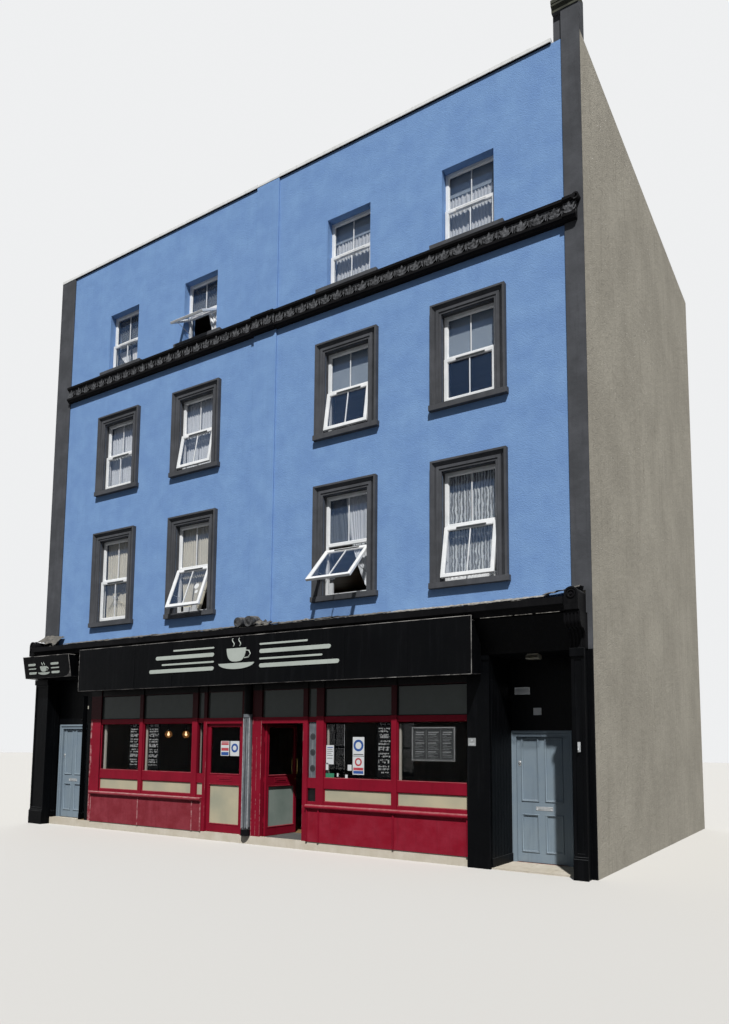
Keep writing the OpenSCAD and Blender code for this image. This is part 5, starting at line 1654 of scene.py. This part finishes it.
class SHOP_OT_shopfront_trim(bpy.types.Operator):
    """Adds the small fittings and worn edges of the shopfront"""
    bl_idname = "corner_shop.shopfront_trim"
    bl_label = "Shopfront trim"

    def execute(self, context):
        self.side_light()
        self.rub_edges()
        self.rib_column()
        self.plates()
        self.line_porches()
        self.wear_arrises()
        self.beads()
        return {"FINISHED"}

    def side_light(self):
        """The grey panel in the narrow side light, with three round vents."""
        made = bmesh.new()
        face = PANE_FACE - 0.006
        block(made, (1.305, face, 1.13), (1.465, PANE_FACE + 0.002, 2.235))
        for z in (1.42, 1.70, 1.98):
            vent = ((0.058, -0.001), (0.058, 0.004), (0.050, 0.005), (0.048, 0.002))
            turned(made, vent, (1.385, face, z), "Y", 28, 1)
            for i in range(5):
                slot = z - 0.032 + i * 0.014
                block(made, (1.345, face - 0.006, slot), (1.425, face - 0.003, slot + 0.006), None, 1)
        finished("side_light_panel", made, ["grey_iron", "rubber"], soft=0.001)

    def rub_edges(self):
        """Strips along the posts' edges where the red paint is rubbed to pale primer."""
        rng = random.Random(11)
        made = bmesh.new()
        head = 2.3
        for x, wide, share in ((-4.572, 0.055, 0.95), (0.026, 0.012, 0.8), (0.128, 0.008, 0.6),
                               (0.230, 0.009, 0.75), (-0.196, 0.01, 0.7), (-1.15, 0.006, 0.4),
                               (1.192, 0.006, 0.4)):
            for z, tall in stretches(rng, SHOP_FLOOR + 0.01, head, (0.04, 0.3), (0, 0.03)):
                if rng.random() < share:
                    block(made, (x, FRONT - 0.0012, z),
                          (x + wide * rng.uniform(0.5, 1), FRONT + 0.0005, min(z + tall, head)))
        finished("rubbed_post_edges", made, ["bare_bead"])

    def rib_column(self):
        """Two pale ribs down the column's front as painted highlights, with a black groove between them as
        painted shade.
        """
        made = bmesh.new()
        # the two outer rods are painted highlights, the dark middle rod painted shade
        for turn, out, radius, skin in ((-42, 0.079, 0.014, 0), (58, 0.079, 0.014, 0),
                                        (10, 0.0765, 0.009, 1)):
            around = math.radians(turn)
            x, y = -0.08 + out * math.sin(around), FRONT - 0.01 - out * math.cos(around)
            rod(made, [(x, y, z) for z in (0.285, 1.3, 2.37)], radius, 12, skin)
        finished("column_ribs", made, ["rubbed_iron", "rubber"])

    def plates(self):
        """Bell plate, boxes and a plaque over the doors, and a hook on the right pilaster."""
        made = bmesh.new()
        # the bell plate on the pier, with its push and a plain strip
        block(made, (4.40, -4.556, 1.843), (4.528, -4.548, 1.965))
        turned(made, ((0.016, 0.0), (0.016, 0.006), (0.006, 0.008)), (4.464, -4.556, 1.925), "Y", 20, 1)
        block(made, (4.42, -4.5585, 1.86), (4.508, -4.555, 1.885), None, 1)
        # a small screwed box over each house door
        for x0, x1, y, z0, z1 in ((5.13, 5.26, -3.66, 2.347, 2.461), (-5.09, -4.99, -4.35, 2.30, 2.38)):
            block(made, (x0, y, z0), (x1, y + 0.012, z1), None, 2)
            screw = ((0.003, 0.0), (0.003, 0.001), (0.001, 0.002))
            for x in (x0 + 0.01, x1 - 0.01):
                turned(made, screw, (x, y, (z0 + z1) / 2), "Y", 10, 1)
        # the framed plaque over the right door
        block(made, (4.83, -3.665, 2.686), (5.07, -3.648, 2.791), None, 2)
        mitred(made, (4.824, 2.680), (5.076, 2.797),
               ((0, -3.65), (0, -3.668), (0.012, -3.668), (0.012, -3.664)), None, 1)
        # the hook on the right pilaster, and its plate
        rod(made, [(6.155, y, z) for y, z in ((-4.70, 1.78), (-4.735, 1.775), (-4.75, 1.80), (-4.74, 1.83))],
            0.007, 10, 1)
        block(made, (6.135, -4.705, 1.772), (6.175, -4.698, 1.913), None, 1)
        finished("small_plates", made, ["case_metal", "stay_steel", "white_card"], soft=0.001)

    def line_porches(self):
        """Upright boards on the side walls of the two porches, over a plinth board."""
        made = bmesh.new()
        front, board, plinth = FRONT + 0.005, 0.118, 0.14
        for x, way, back, floor in ((4.752, 1, -3.66, PORCH_FLOOR), (6.068, -1, -3.66, PORCH_FLOOR),
                                    (-5.872, 1, -4.36, SHOP_FLOOR), (-4.872, -1, -4.36, SHOP_FLOOR)):
            y = front
            while y < back - 0.03:
                step = min(board, back - y)
                near, far = sorted((x, x + way * 0.011))
                block(made, (near, y + 0.003, floor + plinth), (far, y + step - 0.003, 2.86))
                y += step
            near, far = sorted((x, x + way * 0.02))
            block(made, (near, front + 0.002, floor + 0.002), (far, back, floor + plinth - 0.002))
        finished("porch_boards", made, ["black_joinery"], soft=0.002)

    def wear_arrises(self):
        """Worn pale arrises: the left post's outer edge and the plinths of the shop pilasters."""
        rng = random.Random(21)
        made = bmesh.new()
        edge_x, edge_y = -4.58, FRONT
        for z, tall in stretches(rng, 0.2, 2.3, (0.06, 0.28), (0.0, 0.03)):
            wide, head = rng.uniform(0.006, 0.022), min(z + tall, 2.3)
            block(made, (edge_x - 0.0012, edge_y - 0.0012, z), (edge_x + wide, edge_y + 0.0015, head))
            block(made, (edge_x - 0.0012, edge_y - 0.0012, z), (edge_x + 0.0015, edge_y + 0.03 + wide, head))
        for x0, x1 in ((-6.33, -5.875), (6.06, 6.25)):
            x = x0
            while x < x1:
                wide = min(rng.uniform(0.05, 0.15), x1 - x)
                block(made, (x, -4.7012, 0.282 - rng.uniform(0, 0.01)), (x + wide, -4.699, 0.2905))
                x += wide + 0.01
        finished("worn_arrises", made, ["bare_bead"])

    def beads(self):
        """Glazing beads round the shop's panes, and half-round beads between the low panels."""
        made = bmesh.new()
        for x in (1.31, 1.56, 3.05, 4.362):
            rod(made, [(x, FRONT - 0.018, z) for z in (SHOP_FLOOR + 0.003, 0.45, 0.722)], 0.019, 12)
        bead = ((0, FRONT + 0.026), (0.004, FRONT + 0.024), (0.016, FRONT + 0.044))
        for x0, x1 in ((-4.26, -3.04), (-2.94, -1.53), (1.64, 3.00), (3.10, 4.38)):
            # the beads of the transoms are black, as painted shade under the sign
            for foot, head, skin in ((0.845, 1.075, 0), (LIGHT_FOOT, LIGHT_HEAD, 0),
                                     (TRANSOM_FOOT, TRANSOM_HEAD, 1)):
                mitred(made, (x0, foot), (x1, head), bead, None, skin)
        finished("shop_glazing_beads", made, ["maroon_joinery", "black_joinery"])


class SHOP_OT_roof(bpy.types.Operator):
    """Laps the felt on the roof and turns it up at the edges"""
    bl_idname = "corner_shop.roof"
    bl_label = "Roof"

    def execute(self, context):
        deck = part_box("roof_deck")[1][2]
        made = bmesh.new()
        x, felt = -6.02, 0.96
        while x < 6.0:
            block(made, (x - 0.06, -4.1, deck), (x + 0.01, 4.1, deck + 0.005))
            x += felt
        for x0, x1, y0, y1 in ((-6.1, 6.1, -4.18, -4.12), (-6.1, 6.1, 4.12, 4.18),
                               (-6.1, -6.04, -4.12, 4.12), (6.04, 6.1, -4.12, 4.12)):
            block(made, (x0, y0, deck), (x1, y1, deck + 0.09))
        finished("roof_felt_laps", made, ["roof_felt"], soft=0.004)
        return {"FINISHED"}


class SHOP_PT_panel(bpy.types.Panel):
    """Lists the pieces of the building and the sizes and colours behind them"""
    bl_idname = "SHOP_PT_panel"
    bl_label = "Corner shop building"
    bl_space_type = "VIEW_3D"
    bl_region_type = "UI"
    bl_category = "Corner Shop"

    def draw(self, context):
        for name, group in GROUPS.items():
            box = self.layout.box()
            box.label(text=name.replace("_", " ").capitalize())
            for size in group.__annotations__:
                box.prop(getattr(context.scene, name), size)
        for kind in OPERATORS:
            self.layout.operator(kind.bl_idname)


GROUPS = {"street_stage": StreetStage, "shop_paints": ShopPaints, "cloth_sizes": ClothSizes,
          "sign_sizes": SignSizes}
OPERATORS = (SHOP_OT_stage, SHOP_OT_finishes, SHOP_OT_surround_mouldings, SHOP_OT_window_fittings,
             SHOP_OT_curtains, SHOP_OT_house_doors, SHOP_OT_cafe_doors, SHOP_OT_signs, SHOP_OT_leadwork,
             SHOP_OT_lamps, SHOP_OT_menu_case, SHOP_OT_window_cards, SHOP_OT_shopfront_trim, SHOP_OT_roof)


def register():
    for kind in (*GROUPS.values(), *OPERATORS, SHOP_PT_panel):
        bpy.utils.register_class(kind)
    for name, group in GROUPS.items():
        setattr(bpy.types.Scene, name, PointerProperty(type=group))


def unregister():
    for name in GROUPS:
        delattr(bpy.types.Scene, name)
    for kind in (SHOP_PT_panel, *OPERATORS, *GROUPS.values()):
        bpy.utils.unregister_class(kind)


def main():
    register()
    bpy.ops.corner_shop.stage()
    bpy.ops.corner_shop.finishes()
    bpy.ops.corner_shop.surround_mouldings()
    bpy.ops.corner_shop.window_fittings()
    bpy.ops.corner_shop.curtains()
    bpy.ops.corner_shop.house_doors()
    bpy.ops.corner_shop.cafe_doors()
    bpy.ops.corner_shop.signs()
    bpy.ops.corner_shop.leadwork()
    bpy.ops.corner_shop.lamps()
    bpy.ops.corner_shop.menu_case()
    bpy.ops.corner_shop.window_cards()
    bpy.ops.corner_shop.shopfront_trim()
    bpy.ops.corner_shop.roof()


if __name__ == "__main__":
    main()
